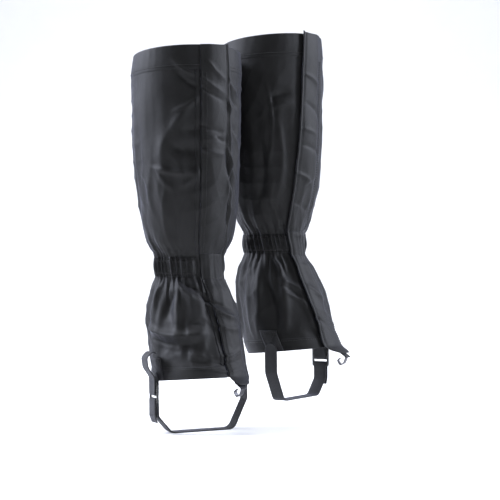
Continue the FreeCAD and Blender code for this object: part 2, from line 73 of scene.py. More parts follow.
# Close-set angles for the stitches that run right round a hem.
ROUND_THE_HEM = np.arange(9.5, 353.5, 0.5)

# Height above the hem, half width, half depth, how far the middle lies ahead, how much the
# front is raised, the angles of the flap's sewn edge and free edge, and how far the right
# and the left gaiter are turned round the leg.
COLUMNS = (
    "height", "half_width", "half_depth", "ahead", "rise", "sewn", "free", "right_turn", "left_turn",
)
LEVELS = (
    (-12.0, 60.0, 71.0, 41.0, 8.0, 0.0, -34.0, -12.0, 14.0),
    (0.0, 60.0, 66.0, 30.5, 6.0, 4.0, -40.0, -15.5, 17.0),
    (30.0, 60.5, 66.0, 18.5, 3.0, 4.0, -38.0, -14.6, 18.0),
    (75.0, 61.5, 61.5, 9.0, 0.5, 4.5, -39.0, -12.4, 16.0),
    (114.0, 52.5, 51.5, 0.5, 0.0, 8.0, -38.0, -10.0, 14.0),
    (135.0, 46.0, 41.5, 0.0, 0.0, 9.5, -38.0, -8.0, 12.0),
    (158.0, 47.0, 42.0, -0.5, 0.0, 9.5, -38.0, -6.0, 6.5),
    (183.0, 58.5, 51.0, -1.0, 0.0, 9.0, -34.0, -2.0, 2.0),
    (240.0, 68.5, 66.0, -2.0, 0.0, 8.5, -30.0, 0.0, 0.0),
    (320.0, 73.5, 73.0, -4.5, 1.0, 8.5, -26.0, 0.0, 1.0),
    (400.0, 74.5, 73.0, -4.0, 4.0, 8.5, -23.5, 0.0, 2.0),
    (430.0, 72.0, 69.0, -2.0, 6.0, 8.5, -23.5, 0.0, 4.0),
    (442.0, 71.0, 68.0, -1.5, 6.5, 8.5, -23.5, 0.0, 4.0),
)
TABLE = {name: np.array(values) for name, values in zip(COLUMNS, zip(*LEVELS))}
FINE_HEIGHTS = np.arange(-13.0, 443.0, 0.5)


def smooth_column(name):
    """One column of the table at every fine height: a cubic that never overshoots."""
    heights, values = TABLE["height"], TABLE[name]
    steps = np.diff(heights)
    slopes = np.diff(values) / steps
    product = slopes[:-1] * slopes[1:]
    total = np.where(product > 0, slopes[:-1] + slopes[1:], 1.0)
    inner = np.where(product > 0, 2 * product / total, 0.0)
    tangents = np.concatenate(([slopes[0]], inner, [slopes[-1]]))
    at = np.clip(FINE_HEIGHTS, heights[0], heights[-1])
    k = np.clip(np.searchsorted(heights, at, side="right") - 1, 0, len(steps) - 1)
    part = (at - heights[k]) / steps[k]
    start = (1 + 2 * part) * (1 - part) ** 2 * values[k]
    start += part * (1 - part) ** 2 * steps[k] * tangents[k]
    end = part ** 2 * (3 - 2 * part) * values[k + 1]
    end += part ** 2 * (part - 1) * steps[k] * tangents[k + 1]
    return start + end


FINE = {name: smooth_column(name) for name in COLUMNS[1:]}


def at_height(name, height):
    """One of the table's columns at any height."""
    return np.interp(height, FINE_HEIGHTS, FINE[name])


def to_world(leg, out, ahead, up):
    """Points in the shared frame, in metres, from a gaiter's own axes in millimetres."""
    side = SIDES[leg]
    x = -side * (HALF_SPACING + math.cos(TOE_OUT) * out + math.sin(TOE_OUT) * ahead)
    y = PAIR_BACK + math.sin(TOE_OUT) * out - math.cos(TOE_OUT) * ahead
    z = up + (0.0 if side > 0 else LEFT_STEP_UP)
    return np.stack(np.broadcast_arrays(x, y, z), axis=-1) * MM


def bare_wall(angle, height, offset):
    """The unfolded sleeve at an angle from straight ahead, in its own axes, and its normal."""
    turn = np.radians(angle)
    half_width, half_depth = at_height("half_width", height), at_height("half_depth", height)
    across, forward = np.sin(turn) / half_width, np.cos(turn) / half_depth
    length = np.hypot(across, forward)
    across, forward = across / length, forward / length
    out = half_width * np.sin(turn) + offset * across
    front = half_depth * np.cos(turn) + offset * forward
    up = HEM_LEVEL + height + at_height("rise", height) * front / half_depth
    return out, at_height("ahead", height) + front, up, across, forward


# ------------------------------------------------------------------ folds in the cloth
def ease(low, high, value):
    """0 below low, 1 above high, smooth between."""
    part = np.clip((value - low) / (high - low), 0.0, 1.0)
    return part * part * (3 - 2 * part)


def hill(value, middle, reach):
    """1 at the middle, fading to nothing on both sides."""
    return np.exp(-((value - middle) / reach) ** 2)


def signed(angle):
    """The angle from straight ahead, from -180 to 180 degrees."""
    return (np.asarray(angle, float) + 180.0) % 360.0 - 180.0


# Folds pressed into each gaiter: from (angle, height) to (angle, height), the fold's
# half width and how far it rises out of the cloth, in millimetres.
FOLDS = {
    "right": (
        (35, 409, 12, 391, 3.2, 2.6), (30, 393, 12, 376, 3.2, -2.6), (1, 408, -17, 387, 3.2, 2.2),
        (8, 390, -16, 370, 3.2, 2.2), (8, 377, -16, 361, 3.0, -2.0), (34, 348, 12, 364, 3.5, 2.6),
        (16, 358, 54, 284, 9.0, 2.6), (58, 275, 9, 270, 5.0, 3.2), (36, 300, 8, 300, 13.0, -4.4),
        (26, 322, 8, 326, 8.0, -2.2), (56, 272, 38, 246, 5.0, 2.0), (28, 252, 12, 268, 5.0, 2.0),
        (9, 330, -16, 321, 3.5, -2.0), (7, 298, -16, 293, 3.5, 1.9), (-7, 315, -18, 309, 2.6, -1.8),
        (6, 310, -10, 316, 3.0, 1.4), (-22, 360, -41, 308, 3.2, 4.4), (-24, 348, -38, 318, 3.2, -4.2),
        (-24, 388, -42, 372, 3.2, 2.8), (-24, 380, -44, 356, 3.0, -3.2), (-22, 300, -40, 258, 3.0, 3.2),
        (-22, 288, -36, 246, 3.0, -3.4), (-24, 262, -34, 206, 3.4, 2.8),
        (-26, 250, -33, 196, 3.2, -3.0), (-20, 324, -32, 247, 4.0, -2.6), (48, 247, 46, 169, 6.0, 2.0),
        (28, 240, 35, 162, 5.0, -2.0), (42, 130, 14, 103, 6.0, 5.2), (30, 124, 8, 116, 3.6, -4.2),
        (46, 112, 60, 80, 9.0, -5.4), (94, 68, 8, 60, 7.0, 6.4), (90, 54, 16, 47, 6.0, -3.6),
        (25, 72, 6, 76, 4.4, -4.0), (74, 42, 19, 38, 9.0, -2.8), (1, 99, -35, 78, 4.4, 3.2),
        (14, 114, -24, 93, 3.4, -3.4), (-2, 73, -42, 63, 4.6, 2.2), (30, 31, 6, 28, 2.4, 1.8),
        (30, 22, 7, 21, 2.2, -1.6), (30, 15, 8, 13, 2.2, 1.6), (4, 28, -37, 35, 2.6, 1.8),
        (5, 18, -34, 22, 2.4, -1.6), (6, 8, -26, 9, 2.2, 1.5), (72, 126, 77, 90, 4.0, 2.4),
        (56, 126, 57, 97, 3.6, -2.4), (-57, 124, -63, 85, 3.2, 2.6), (120, 380, 150, 300, 8.0, 2.6),
        (150, 330, 195, 260, 8.0, -2.6), (215, 380, 240, 280, 9.0, 2.8), (110, 300, 90, 220, 8.0, -2.2),
        (140, 115, 170, 50, 7.0, 3.0), (250, 110, 220, 40, 7.0, -3.0),
    ),
    "left": (
        (-59, 356, -60, 260, 2.8, 3.0), (-55, 350, -58, 274, 4.0, -2.4),
        (-58, 344, -36, 350, 6.0, -2.6), (-55, 331, -34, 338, 6.0, 1.8),
        (-67, 276, -75, 200, 6.0, -2.8), (-47, 302, -51, 206, 6.0, 2.2), (-18, 376, 4, 362, 3.4, 1.9),
        (-16, 338, 7, 319, 5.0, -1.8), (-24, 303, -2, 296, 3.0, 1.4), (-20, 281, 7, 270, 4.4, -2.1),
        (-27, 243, -4, 227, 3.6, 1.9), (-12, 226, 6, 234, 3.0, -1.3), (-28, 203, 4, 188, 4.2, -1.7),
        (-56, 199, -44, 163, 3.2, 2.6), (-48, 199, -33, 162, 3.2, -2.6), (-60, 128, -46, 108, 3.4, 3.4),
        (-44, 131, -40, 109, 3.0, 2.8), (-52, 129, -42, 104, 2.8, -3.0), (-48, 97, -28, 84, 3.6, 3.0),
        (-50, 88, -31, 73, 3.6, -2.8), (-46, 78, -26, 61, 3.6, 2.6), (-82, 118, -99, 28, 6.0, 2.4),
        (-68, 84, -76, 14, 7.0, -2.8), (-12, 158, 26, 147, 4.0, 1.6), (-8, 121, 32, 119, 5.0, -1.8),
        (-16, 89, 4, 67, 6.0, 2.2), (-18, 42, -3, 23, 5.0, -1.8), (30, 380, 60, 300, 8.0, 2.8),
        (24, 330, 12, 240, 7.0, -2.2), (120, 380, 150, 300, 8.0, -2.6), (150, 350, 195, 280, 8.0, 2.6),
        (215, 380, 240, 280, 9.0, -2.8), (110, 100, 90, 40, 8.0, 3.0), (180, 118, 200, 40, 8.0, 2.8),
    ),
}
# How much a fold bows, as a share of its length, and how narrow its crest is.
FOLD_BOW = 0.06
FOLD_CREST = 2.1


def one_fold(angle, height, fold):
    """How far one fold lifts the cloth: a ridge along a short line, fading at its ends."""
    first_angle, first_height, last_angle, last_height, half_width, rise = fold
    around = signed(angle - first_angle) * MM_PER_DEGREE
    up = height - first_height
    run = np.array([signed(last_angle - first_angle) * MM_PER_DEGREE, last_height - first_height])
    length = float(np.hypot(*run))
    along = (around * run[0] + up * run[1]) / length
    side_step = (around * run[1] - up * run[0]) / length
    ends = ease(-0.25 * length, 0.25 * length, along) * (1 - ease(0.7 * length, 1.2 * length, along))
    bow = side_step + FOLD_BOW * length * np.sin(math.pi * along / length)
    widening = half_width * (0.7 + 0.6 * np.clip(along / length, 0, 1))
    crest = np.exp(1 - np.sqrt(1 + (FOLD_CREST * bow / widening) ** 2))
    return rise * ends * crest


def flap_cover(angle, height):
    """1 on the flap, 0 elsewhere."""
    around = signed(angle)
    free, sewn = at_height("free", height), at_height("sewn", height)
    return ease(free - 5.0, free + 1.0, around) * (1 - ease(sewn - 1.0, sewn + 4.0, around))


def ripples(phase, sharp):
    """Narrow ridges with rounded valleys between, from -1 to 1."""
    return 1 - 2 * np.abs(np.sin(phase)) ** sharp


# Half the pleats there are round the leg, narrow beside the elastic and wider away from it.
NARROW_PLEATS = 22.0
WIDE_PLEATS = 9.0


def pleat_wander(leg, turn):
    """How unevenly the pleats are spread round the leg."""
    return 0.9 * np.sin(3.0 * turn + SIDES[leg]) + 0.5 * np.sin(7.0 * turn + 1.3)


def narrow_pleats(turn, wander, lean=0.0):
    return ripples(NARROW_PLEATS * turn + 1.8 * wander + lean, 0.7)


def gathers(leg, angle, height):
    """Pleats drawn in by the waist elastic, widening and fading away from it."""
    side, turn = SIDES[leg], np.radians(signed(angle))
    away = np.clip(height - CASING[1], 0, None) + np.clip(CASING[0] - height, 0, None)
    wander = pleat_wander(leg, turn)
    lean = 0.012 * away * np.sin(2.0 * turn + 0.6 * side)
    near = narrow_pleats(turn, wander, lean) * np.exp(-away / 16.0)
    middle = ripples(WIDE_PLEATS * turn + 1.1 * wander + 2 * lean, 0.8) * hill(away, 10.0, 22.0)
    far = np.sin(WIDE_PLEATS * turn + 1.4 * wander) * hill(away, 28.0, 28.0)
    strength = 0.75 + 0.25 * np.sin(5.0 * turn + 2.0 * side)
    return (1.5 * near + 1.7 * middle + 1.3 * far) * strength * (1 - 0.85 * flap_cover(angle, height))


def puckers(leg, angle, height):
    """Short creases where a line of stitches has drawn the cloth in."""
    side, around = SIDES[leg], signed(angle)
    seams = ((at_height("sewn", height), 9.0, 1.0), (at_height("free", height) + 4.0, 5.0, 0.4))
    by_hem = 1 - ease(45.0, 85.0, height)
    beat = np.sin(height / 4.1 + 1.7 * np.sin(height / 23.0 + side))
    slow = 0.5 + 0.5 * np.sin(height / 17.0 + 0.8 * side)
    total = 0.0
    for seam, reach, strength in seams:
        near = hill((around - seam) * MM_PER_DEGREE, 0.0, reach)
        total = total + 0.45 * strength * near * beat * slow * (1 + 1.6 * by_hem)
    rear = hill(signed(angle - 180.0) * MM_PER_DEGREE, 0.0, 8.0)
    total = total + 0.4 * rear * np.sin(height / 4.7 + 1.2 * np.sin(height / 31.0))
    inside = ease(BINDING[1] - 6.0, BINDING[1] + 6.0, height)
    return total * inside * (1 - ease(BAND[0] - 8.0, BAND[0], height))


def sway(leg, angle, height):
    """Soft large dents and swells, so that no stretch of the sleeve is a plain cone."""
    side, turn = SIDES[leg], np.radians(signed(angle))
    slow = np.sin(3 * turn + height / 61.0 + side) * np.sin(height / 43.0 + 2 * turn)
    quick = np.sin(5 * turn - height / 27.0 + 2.0 * side) * np.sin(height / 19.0 - 3 * turn + 1.0)
    free = ease(4.0, 40.0, height) * (1 - ease(BAND[0] - 40.0, BAND[0] + 6.0, height))
    return (1.3 * slow + 0.7 * quick) * (free * (1 - 0.8 * hill(height, 152.0, 22.0)))


# Directions (radians), spacings and shifts of the small creases.
CREASE_RUNS = ((0.5, 31.0, 0.0), (1.3, 22.0, 1.1), (2.2, 27.0, 2.3), (2.8, 18.0, 0.7), (0.15, 16.0, 1.9))
CREASE_RISE = 0.55


def crumple(leg, angle, height):
    """Small sharp creases in patches, where the coated cloth has been folded and packed."""
    side, around = SIDES[leg], signed(angle) * MM_PER_DEGREE
    total = 0.0
    for turn, spacing, shift in CREASE_RUNS:
        along = around * math.cos(turn) + height * math.sin(turn)
        across = height * math.cos(turn) - around * math.sin(turn)
        bend = 5.0 * np.sin(across / 29.0 + shift) + 2.5 * np.sin(across / 12.0 + 2 * shift + side)
        patch = np.sin(along / 53.0 + shift) * np.sin(across / 37.0 + side + 1.7 * shift)
        total = total + ripples((along + bend) * math.pi / spacing, 0.55) * np.clip(patch, 0, None)
    by_rear_seam = ease(0.0, 24.0, 180.0 - np.abs(signed(angle)))
    free = ease(BINDING[1] - 8.0, BINDING[1] + 14.0, height) * (1 - ease(BAND[0] - 14.0, BAND[0], height))
    return CREASE_RISE * total * by_rear_seam * free


# ------------------------------------------------------------------ cloth simulation
SETTLE_ROWS = np.arange(-2.0, 435.0, 4.0)
SETTLE_COLUMNS = 120
SETTLE_FRAMES = 26
SETTLE_SCALE = 0.01
MOST_MOVE = 6.5
# Waves round the leg that its own shape settles: none, one or two.
LEG_WAVES = 3
# Heights where elastic, band or binding holds the cloth.
PINNED = ((-20.0, 4.0), (131.0, 163.0), (402.0, 450.0))
SETTLED = {}


def settle_sheet(leg):
    """A closed tube of plain cloth round one leg, ten times larger than life."""
    angles = np.arange(SETTLE_COLUMNS) * 360.0 / SETTLE_COLUMNS
    angle, height = np.meshgrid(angles, SETTLE_ROWS)
    seed = 0.5 * gathers(leg, angle, height) + sway(leg, angle, height)
    out, ahead, up, across, forward = bare_wall(angle, height, seed)
    points = np.stack([out, ahead, up], axis=-1).reshape(-1, 3) * SETTLE_SCALE
    mesh = bpy.data.meshes.new(leg + "_settling")
    mesh.from_pydata(points.tolist(), [], ring_faces(*angle.shape))
    sheet = add_object(mesh)
    held = [i for i, h in enumerate(height.ravel()) if any(low <= h <= high for low, high in PINNED)]
    sheet.vertex_groups.new(name="pinned").add(held, 1.0, "REPLACE")
    return sheet, points, across, forward


def run_cloth(sheet):
    """Let the sheet fall and buckle, and give the points where it comes to rest."""
    cloth = sheet.modifiers.new("cloth", "CLOTH")
    rules = cloth.settings
    rules.quality = 6
    rules.mass = 0.25
    rules.tension_stiffness = rules.compression_stiffness = 18.0
    rules.shear_stiffness = 6.0
    rules.bending_stiffness = 0.4
    rules.shrink_min = -0.055
    rules.vertex_group_mass = "pinned"
    cloth.point_cache.frame_end = SETTLE_FRAMES
    for number in range(1, SETTLE_FRAMES + 1):
        bpy.context.scene.frame_set(number)
    result = sheet.evaluated_get(bpy.context.evaluated_depsgraph_get()).to_mesh()
    moved = np.empty(len(result.vertices) * 3)
    result.vertices.foreach_get("co", moved)
    return moved.reshape(-1, 3)


def folds_only(moves):
    """The short waves round the leg: the leg itself keeps the sleeve from narrowing or tilting."""
    waves = np.fft.rfft(moves, axis=1)
    waves[:, :LEG_WAVES] = 0.0
    return np.fft.irfft(waves, n=moves.shape[1], axis=1)


def settle(leg):
    """Simulate one sleeve's cloth; keep how far each point moved out, round and up."""
    sheet, points, across, forward = settle_sheet(leg)
    shift = ((run_cloth(sheet) - points) / SETTLE_SCALE).reshape(across.shape + (3,))
    bpy.data.objects.remove(sheet)
    out_move = folds_only(shift[..., 0] * across + shift[..., 1] * forward)
    out_move = MOST_MOVE * np.tanh(1.3 * out_move / MOST_MOVE)
    round_move = folds_only(shift[..., 0] * forward - shift[..., 1] * across)
    SETTLED[leg] = (out_move, round_move, folds_only(shift[..., 2]))


def look_up(grid, angle, height):
    """A value between the simulated cloth's points, which repeat round the leg."""
    rows, columns = grid.shape
    row_at = np.interp(height, SETTLE_ROWS, np.arange(rows))
    column_at = (signed(angle) % 360.0) / 360.0 * columns
    row = np.clip(row_at.astype(int), 0, rows - 2)
    column = column_at.astype(int) % columns
    up, over = row_at - row, column_at - column_at.astype(int)
    after = (column + 1) % columns
    low = grid[row, column] * (1 - over) + grid[row, after] * over
    high = grid[row + 1, column] * (1 - over) + grid[row + 1, after] * over
    return low * (1 - up) + high * up


def limpness(angle, height):
    """How freely the cloth follows the simulation: least on the doubled flap and by the bands."""
    near_waist = hill(height, 0.5 * (CASING[0] + CASING[1]), 62.0)
    free = ease(2.0, 34.0, height) * (1 - 0.8 * ease(270.0, 385.0, height))
    return (0.34 + 0.36 * near_waist) * free * (1 - 0.65 * flap_cover(angle, height))


def settled(leg, leg_angle, angle, height):
    """How far the simulated cloth moves out, round and up at these places."""
    if leg not in SETTLED:
        return 0.0, 0.0, 0.0
    limp = limpness(angle, height)
    return tuple(limp * look_up(part, leg_angle, height) for part in SETTLED[leg])


def drape(leg, angle, height, offset):
    """World points a distance outside the folded sleeve, at angles from the gaiter's front."""
    angle, height, offset = np.broadcast_arrays(
        *(np.asarray(v, float) for v in (angle, height, offset)))
    leg_angle = angle + at_height(leg + "_turn", height)
    out_move, round_move, up_move = settled(leg, leg_angle, angle, height)
    folds = gathers(leg, angle, height) + puckers(leg, angle, height) + sway(leg, angle, height)
    folds = folds + crumple(leg, angle, height)
    for fold in FOLDS[leg]:
        folds = folds + one_fold(leg_angle, height, fold)
    out, ahead, up, across, forward = bare_wall(leg_angle, height, offset + folds + out_move)
    return to_world(leg, out + round_move * forward, ahead - round_move * across, up + up_move)


# ------------------------------------------------------------------ meshes
def add_object(mesh):
    thing = bpy.data.objects.new(mesh.name, mesh)
    bpy.context.scene.collection.objects.link(thing)
    return thing


def ring_faces(count, size, first=0):
    """Quads between closed loops of points."""
    faces = []
    for r in range(count - 1):
        low, high = first + r * size, first + (r + 1) * size
        for c in range(size):
            after = (c + 1) % size
            faces.append((low + c, low + after, high + after, high + c))
    return faces


def tube_faces(count, size, first=0):
    """Quads between closed loops of points, and a face on each end."""
    ends = [tuple(range(start, start + size)) for start in (first, first + (count - 1) * size)]
    return ring_faces(count, size, first) + ends


def new_mesh(name, points, faces, weave=None):
    """A smooth mesh object. weave holds each point's place on the cloth, in millimetres."""
    mesh = bpy.data.meshes.new(name)
    mesh.from_pydata([tuple(p) for p in points], [], faces)
    if weave is not None:
        layer = mesh.uv_layers.new(name="weave")
        loops = np.empty(len(mesh.loops), np.int32)
        mesh.loops.foreach_get("vertex_index", loops)
        layer.data.foreach_set("uv", np.asarray(weave, np.float32)[loops].ravel())
    work = bmesh.new()
    work.from_mesh(mesh)
    bmesh.ops.recalc_face_normals(work, faces=work.faces)
    work.to_mesh(mesh)
    work.free()
    mesh.shade_smooth()
    return add_object(mesh)


def swept(name, loops, weave=None):
    """Closed solid from an array of loops (loop, point, xyz), with both ends closed."""
    flat_weave = None if weave is None else weave.reshape(-1, 2)
    return new_mesh(name, loops.reshape(-1, 3), tube_faces(*loops.shape[:2]), flat_weave)


def draped_solid(name, leg, angle, height, offset):
    """Closed solid through (loop, point) places on the sleeve."""
    weave = np.stack([angle * MM_PER_DEGREE, height], axis=-1)
    return swept(leg + "_" + name, drape(leg, angle, height, offset), weave)


def sheet_solid(name, leg, angles, heights, outer, inner):
    """A sheet: up its outside and down its inside, with rounded edges.

    angles, heights, outer and inner are (column, row) arrays; one loop per column.
    """
    middle, half = (outer + inner) / 2, (outer - inner) / 2
    turns = np.linspace(0, math.pi, 5)[1:-1]
    parts = [(angles, heights, outer)]
    for t in turns:
        lift = middle[:, -1:] + half[:, -1:] * math.cos(t)
        parts.append((angles[:, -1:], heights[:, -1:] + half[:, -1:] * math.sin(t), lift))
    parts.append((angles[:, ::-1], heights[:, ::-1], inner[:, ::-1]))
    for t in turns:
        lift = middle[:, :1] - half[:, :1] * math.cos(t)
        parts.append((angles[:, :1], heights[:, :1] - half[:, :1] * math.sin(t), lift))
    places = [np.concatenate([part[i] for part in parts], axis=1) for i in range(3)]
    return draped_solid(name, leg, *places)


def cloth_piece(name, leg, limits, heights, outer, inner, fine=(2.0, 2.0)):
    """A sheet between two angles and two heights.

    limits gives both angles at a height; outer and inner are offsets from the sleeve; fine is
    the spacing of its points round the leg and up it.
    """
    low_angle, high_angle = limits(np.array([0.5 * (heights[0] + heights[1])]))
    span = abs(float(high_angle[0] - low_angle[0])) * MM_PER_DEGREE
    columns = max(4, int(round(span / fine[0]))) + 1
    rows = max(3, int(round((heights[1] - heights[0]) / fine[1]))) + 1
    height = np.linspace(heights[0], heights[1], rows)[None, :].repeat(columns, 0)
    low, high = limits(height[0])
    share = np.linspace(0, 1, columns)[:, None]
    angle = low[None, :] * (1 - share) + high[None, :] * share
    outside, inside = np.full_like(angle, outer), np.full_like(angle, inner)
    return sheet_solid(name, leg, angle, height, outside, inside)


def between(low, high):
    """The same two angles at every height."""
    return lambda height: (np.full_like(height, low), np.full_like(height, high))


def band_piece(name, leg, angles, profile, fine=2.0, extra=None):
    """A strip round the leg whose cut end is profile: a closed list of (offset, height)."""
    count = int(round(abs(angles[1] - angles[0]) * MM_PER_DEGREE / fine)) + 1
    angle = np.linspace(angles[0], angles[1], count)[:, None].repeat(len(profile), 1)
    offset, height = (np.array(column)[None, :].repeat(count, 0) for column in zip(*profile))
    if extra is not None:
        offset = offset + extra(angle, height, offset)
    return draped_solid(name, leg, angle, height, offset)


# One stitch: places along it, and its thread's thickness and height there, in millimetres.
STITCH_PITCH = 3.4
STITCH_LENGTH = 0.78
STITCH_PLACES = np.array([0.0, 0.06, 0.2, 0.5, 0.8, 0.94, 1.0])
STITCH_RADII = 0.34 * np.array([0.05, 0.6, 0.95, 1.0, 0.95, 0.6, 0.05])
STITCH_LIFTS = np.array([-0.45, -0.1, 0.22, 0.3, 0.22, -0.1, -0.45])
STITCH_RING = np.linspace(0, 2 * math.pi, 6, endpoint=False)


def one_stitch(centre, lift):
    """Rings of points round one stitch's thread."""
    lift = lift / np.linalg.norm(lift, axis=1)[:, None]
    along = centre[-1] - centre[0]
    beside = np.cross(along / np.linalg.norm(along), lift)
    centre = centre + lift * (STITCH_LIFTS * MM)[:, None]
    ring = np.cos(STITCH_RING)[:, None] * beside[:, None] + np.sin(STITCH_RING)[:, None] * lift[:, None]
    return (centre[:, None] + (STITCH_RADII * MM)[:, None, None] * ring).reshape(-1, 3)


def sew(name, leg, angle, height, offset, part="sleeve", pitch=STITCH_PITCH):
    """A row of stitches through places on the sleeve."""
    line = drape(leg, angle, height, offset)
    lifts = drape(leg, angle, height, offset + 1.0) - line
    travelled = np.concatenate(([0.0], np.cumsum(np.linalg.norm(np.diff(line, axis=0), axis=1))))
    points, faces = [], []
    for number in range(int(travelled[-1] / (pitch * MM))):
        places = number * pitch * MM + STITCH_PLACES * STITCH_LENGTH * pitch * MM
        centre, lift = (
            np.stack([np.interp(places, travelled, values[:, i]) for i in range(3)], axis=1)
            for values in (line, lifts))
        size = len(STITCH_RING)
        faces += tube_faces(len(STITCH_PLACES), size, number * size * len(STITCH_PLACES))
        points.append(one_stitch(centre, lift))
    row = new_mesh(leg + "_" + name, np.concatenate(points), faces)
    return finish_piece(row, leg, part, "thread")


def finish_piece(piece, leg, part, material, node=None):
    """Give a piece its material and hide the imported node it stands for; it rides on a part of its leg
    when a part is given, and stays unattached otherwise.
    """
    piece.data.materials.clear()
    piece.data.materials.append(MATERIALS[material])
    if part is not None:
        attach(piece, leg + "_" + part)
    if node is not None:
        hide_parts(leg + "_" + node)
    return piece


# ------------------------------------------------------------------ materials
def linear(red, green, blue):
    """A display colour as the shader's linear colour."""
    parts = [((v + 0.055) / 1.055) ** 2.4 if v > 0.04 else v / 12.92 for v in (red, green, blue)]
    return tuple(parts) + (1.0,)


def grey(value):
    """A neutral display grey as the shader's linear colour."""
    return linear(value, value, value * 1.01)


class Shader:
    """A small helper that adds and links one material's nodes."""

    def __init__(self, name, roughness, **sockets):
        self.material = bpy.data.materials.new(name)
        self.material.use_nodes = True
        self.tree = self.material.node_tree
        self.surface = self.tree.nodes["Principled BSDF"]
        self.surface.inputs["Roughness"].default_value = roughness
        for socket, value in sockets.items():
            self.surface.inputs[socket.replace("_", " ")].default_value = value

    def node(self, kind, inputs=(), **settings):
        made = self.tree.nodes.new("ShaderNode" + kind)
        for key, value in settings.items():
            setattr(made, key, value)
        for socket, value in dict(inputs).items():
            if isinstance(value, bpy.types.NodeSocket):
                self.tree.links.new(value, made.inputs[socket])
            else:
                made.inputs[socket].default_value = value
        return made

    def math(self, operation, first, second=0.0):
        return self.node("Math", {0: first, 1: second}, operation=operation).outputs[0]

    def times(self, first, second):
        return self.math("MULTIPLY", first, second)

    def plus(self, first, second):
        return self.math("ADD", first, second)

    def wave(self, value, pitch):
        """A smooth rise and fall across the cloth, once every pitch millimetres."""
        return self.math("SINE", self.times(value, 2 * math.pi / pitch))

    def noise(self, scale, detail=2.0, vector=None):
        inputs = {"Scale": scale, "Detail": detail, "Roughness": 0.55}
        inputs["Vector"] = vector or self.node("TexCoord").outputs["Object"]
        return self.node("TexNoise", inputs).outputs["Fac"]

    def ramp(self, value, low, dark, high, light):
        """A colour from dark, where the value is low, to light, where it is high."""
        made = self.node("ValToRGB", {"Fac": value})
        for element, place, colour in zip(made.color_ramp.elements, (low, high), (dark, light)):
            element.position = place
            element.color = colour
        return made.outputs["Color"]

    def cloth_axes(self):
        """The cloth's own across and along, in millimetres."""
        place = self.node("UVMap", uv_map="weave").outputs["UV"]
        split = self.node("SeparateXYZ", {"Vector": place})
        return split.outputs["X"], split.outputs["Y"], place

    def bump(self, height, strength, distance, below=None):
        inputs = {"Height": height, "Strength": strength, "Distance": distance}
        if below is not None:
            inputs["Normal"] = below
        return self.node("Bump", inputs).outputs["Normal"]

    def connect(self, **sockets):
        for socket, value in sockets.items():
            self.tree.links.new(value, self.surface.inputs[socket.replace("_", " ")])
        return self.material


def fabric(name, dark, light, pitch, roughness, sheen, tint):
    """Coated plain-weave nylon: fine threads, faint mottling, a soft bluish sheen."""
    shader = Shader(
        name, roughness, Sheen_Weight=sheen, Sheen_Roughness=0.35, Sheen_Tint=tint,
        Specular_IOR_Level=0.22)
    across, along, place = shader.cloth_axes()
    threads = shader.times(shader.wave(across, pitch), shader.wave(along, pitch))
    mottle = shader.noise(38.0, 4.0)
    slubs = shader.noise(1.6, 3.0, place)
    mix = shader.plus(shader.times(mottle, 0.7), shader.times(slubs, 0.3))
    colour = shader.ramp(mix, 0.3, dark, 0.72, light)
    rough = shader.plus(shader.times(mottle, 0.16), roughness - 0.08)
    crinkle = shader.bump(shader.noise(95.0, 5.0), 0.35, 0.0012)
    relief = shader.bump(threads, 0.25, 0.00012, crinkle)
    return shader.connect(Base_Color=colour, Roughness=rough, Normal=relief)


def webbing(name, dark, light):
    """Woven strap: a twill of ribs across the strap and cords along it."""
    shader = Shader(name, 0.6, Sheen_Weight=0.08, Sheen_Tint=BLUISH, Specular_IOR_Level=0.3)
    across, along, place = shader.cloth_axes()
    ribs = shader.wave(along, 1.5)
    cords = shader.wave(across, 2.2)
    twill = shader.times(ribs, cords)
    mottle = shader.noise(60.0, 3.0)
    colour = shader.ramp(shader.plus(shader.times(twill, 0.12), mottle), 0.25, dark, 0.75, light)
    rough = shader.plus(shader.times(mottle, 0.2), 0.5)
    return shader.connect(Base_Color=colour, Roughness=rough, Normal=shader.bump(twill, 0.6, 0.0003))


def elastic(name, dark, light):
    """Ribbed knitted elastic."""
    shader = Shader(name, 0.75, Sheen_Weight=0.06, Specular_IOR_Level=0.25)
    across, along, place = shader.cloth_axes()
    ribs = shader.wave(along, 2.0)
    knit = shader.times(shader.wave(across, 0.8), 0.4)
    height = shader.plus(ribs, knit)
    colour = shader.ramp(shader.plus(shader.times(height, 0.2), 0.5), 0.2, dark, 0.8, light)
    return shader.connect(Base_Color=colour, Normal=shader.bump(height, 0.6, 0.0004))


def pile(name, dark, light, scale, depth):
    """Hook or loop tape: a field of fine loops or hooks."""
    shader = Shader(name, 0.85, Sheen_Weight=0.12, Specular_IOR_Level=0.2)
    across, along, place = shader.cloth_axes()
    cells = shader.node("TexVoronoi", {"Vector": place, "Scale": scale}).outputs["Distance"]
    fuzz = shader.noise(3.0, 5.0, place)
    height = shader.plus(cells, shader.times(fuzz, 0.5))
    colour = shader.ramp(height, 0.15, dark, 0.85, light)
    return shader.connect(Base_Color=colour, Normal=shader.bump(height, 0.8, depth))


def thread_material(name, dark, light):
    """Twisted sewing thread."""
    shader = Shader(name, 0.5, Sheen_Weight=0.08, Specular_IOR_Level=0.3)
    colour = shader.ramp(shader.noise(900.0), 0.3, dark, 0.7, light)
    relief = shader.bump(shader.noise(2200.0), 0.5, 0.0001)
    return shader.connect(Base_Color=colour, Normal=relief)


def moulded(name, dark, light):
    """Glossy moulded plastic with fine scuffs."""
    shader = Shader(name, 0.28, Specular_IOR_Level=0.6)
    scuffs = shader.noise(260.0, 4.0)
    colour = shader.ramp(scuffs, 0.35, dark, 0.8, light)
    rough = shader.plus(shader.times(scuffs, 0.25), 0.14)
    return shader.connect(Base_Color=colour, Roughness=rough, Normal=shader.bump(scuffs, 0.1, 0.0002))


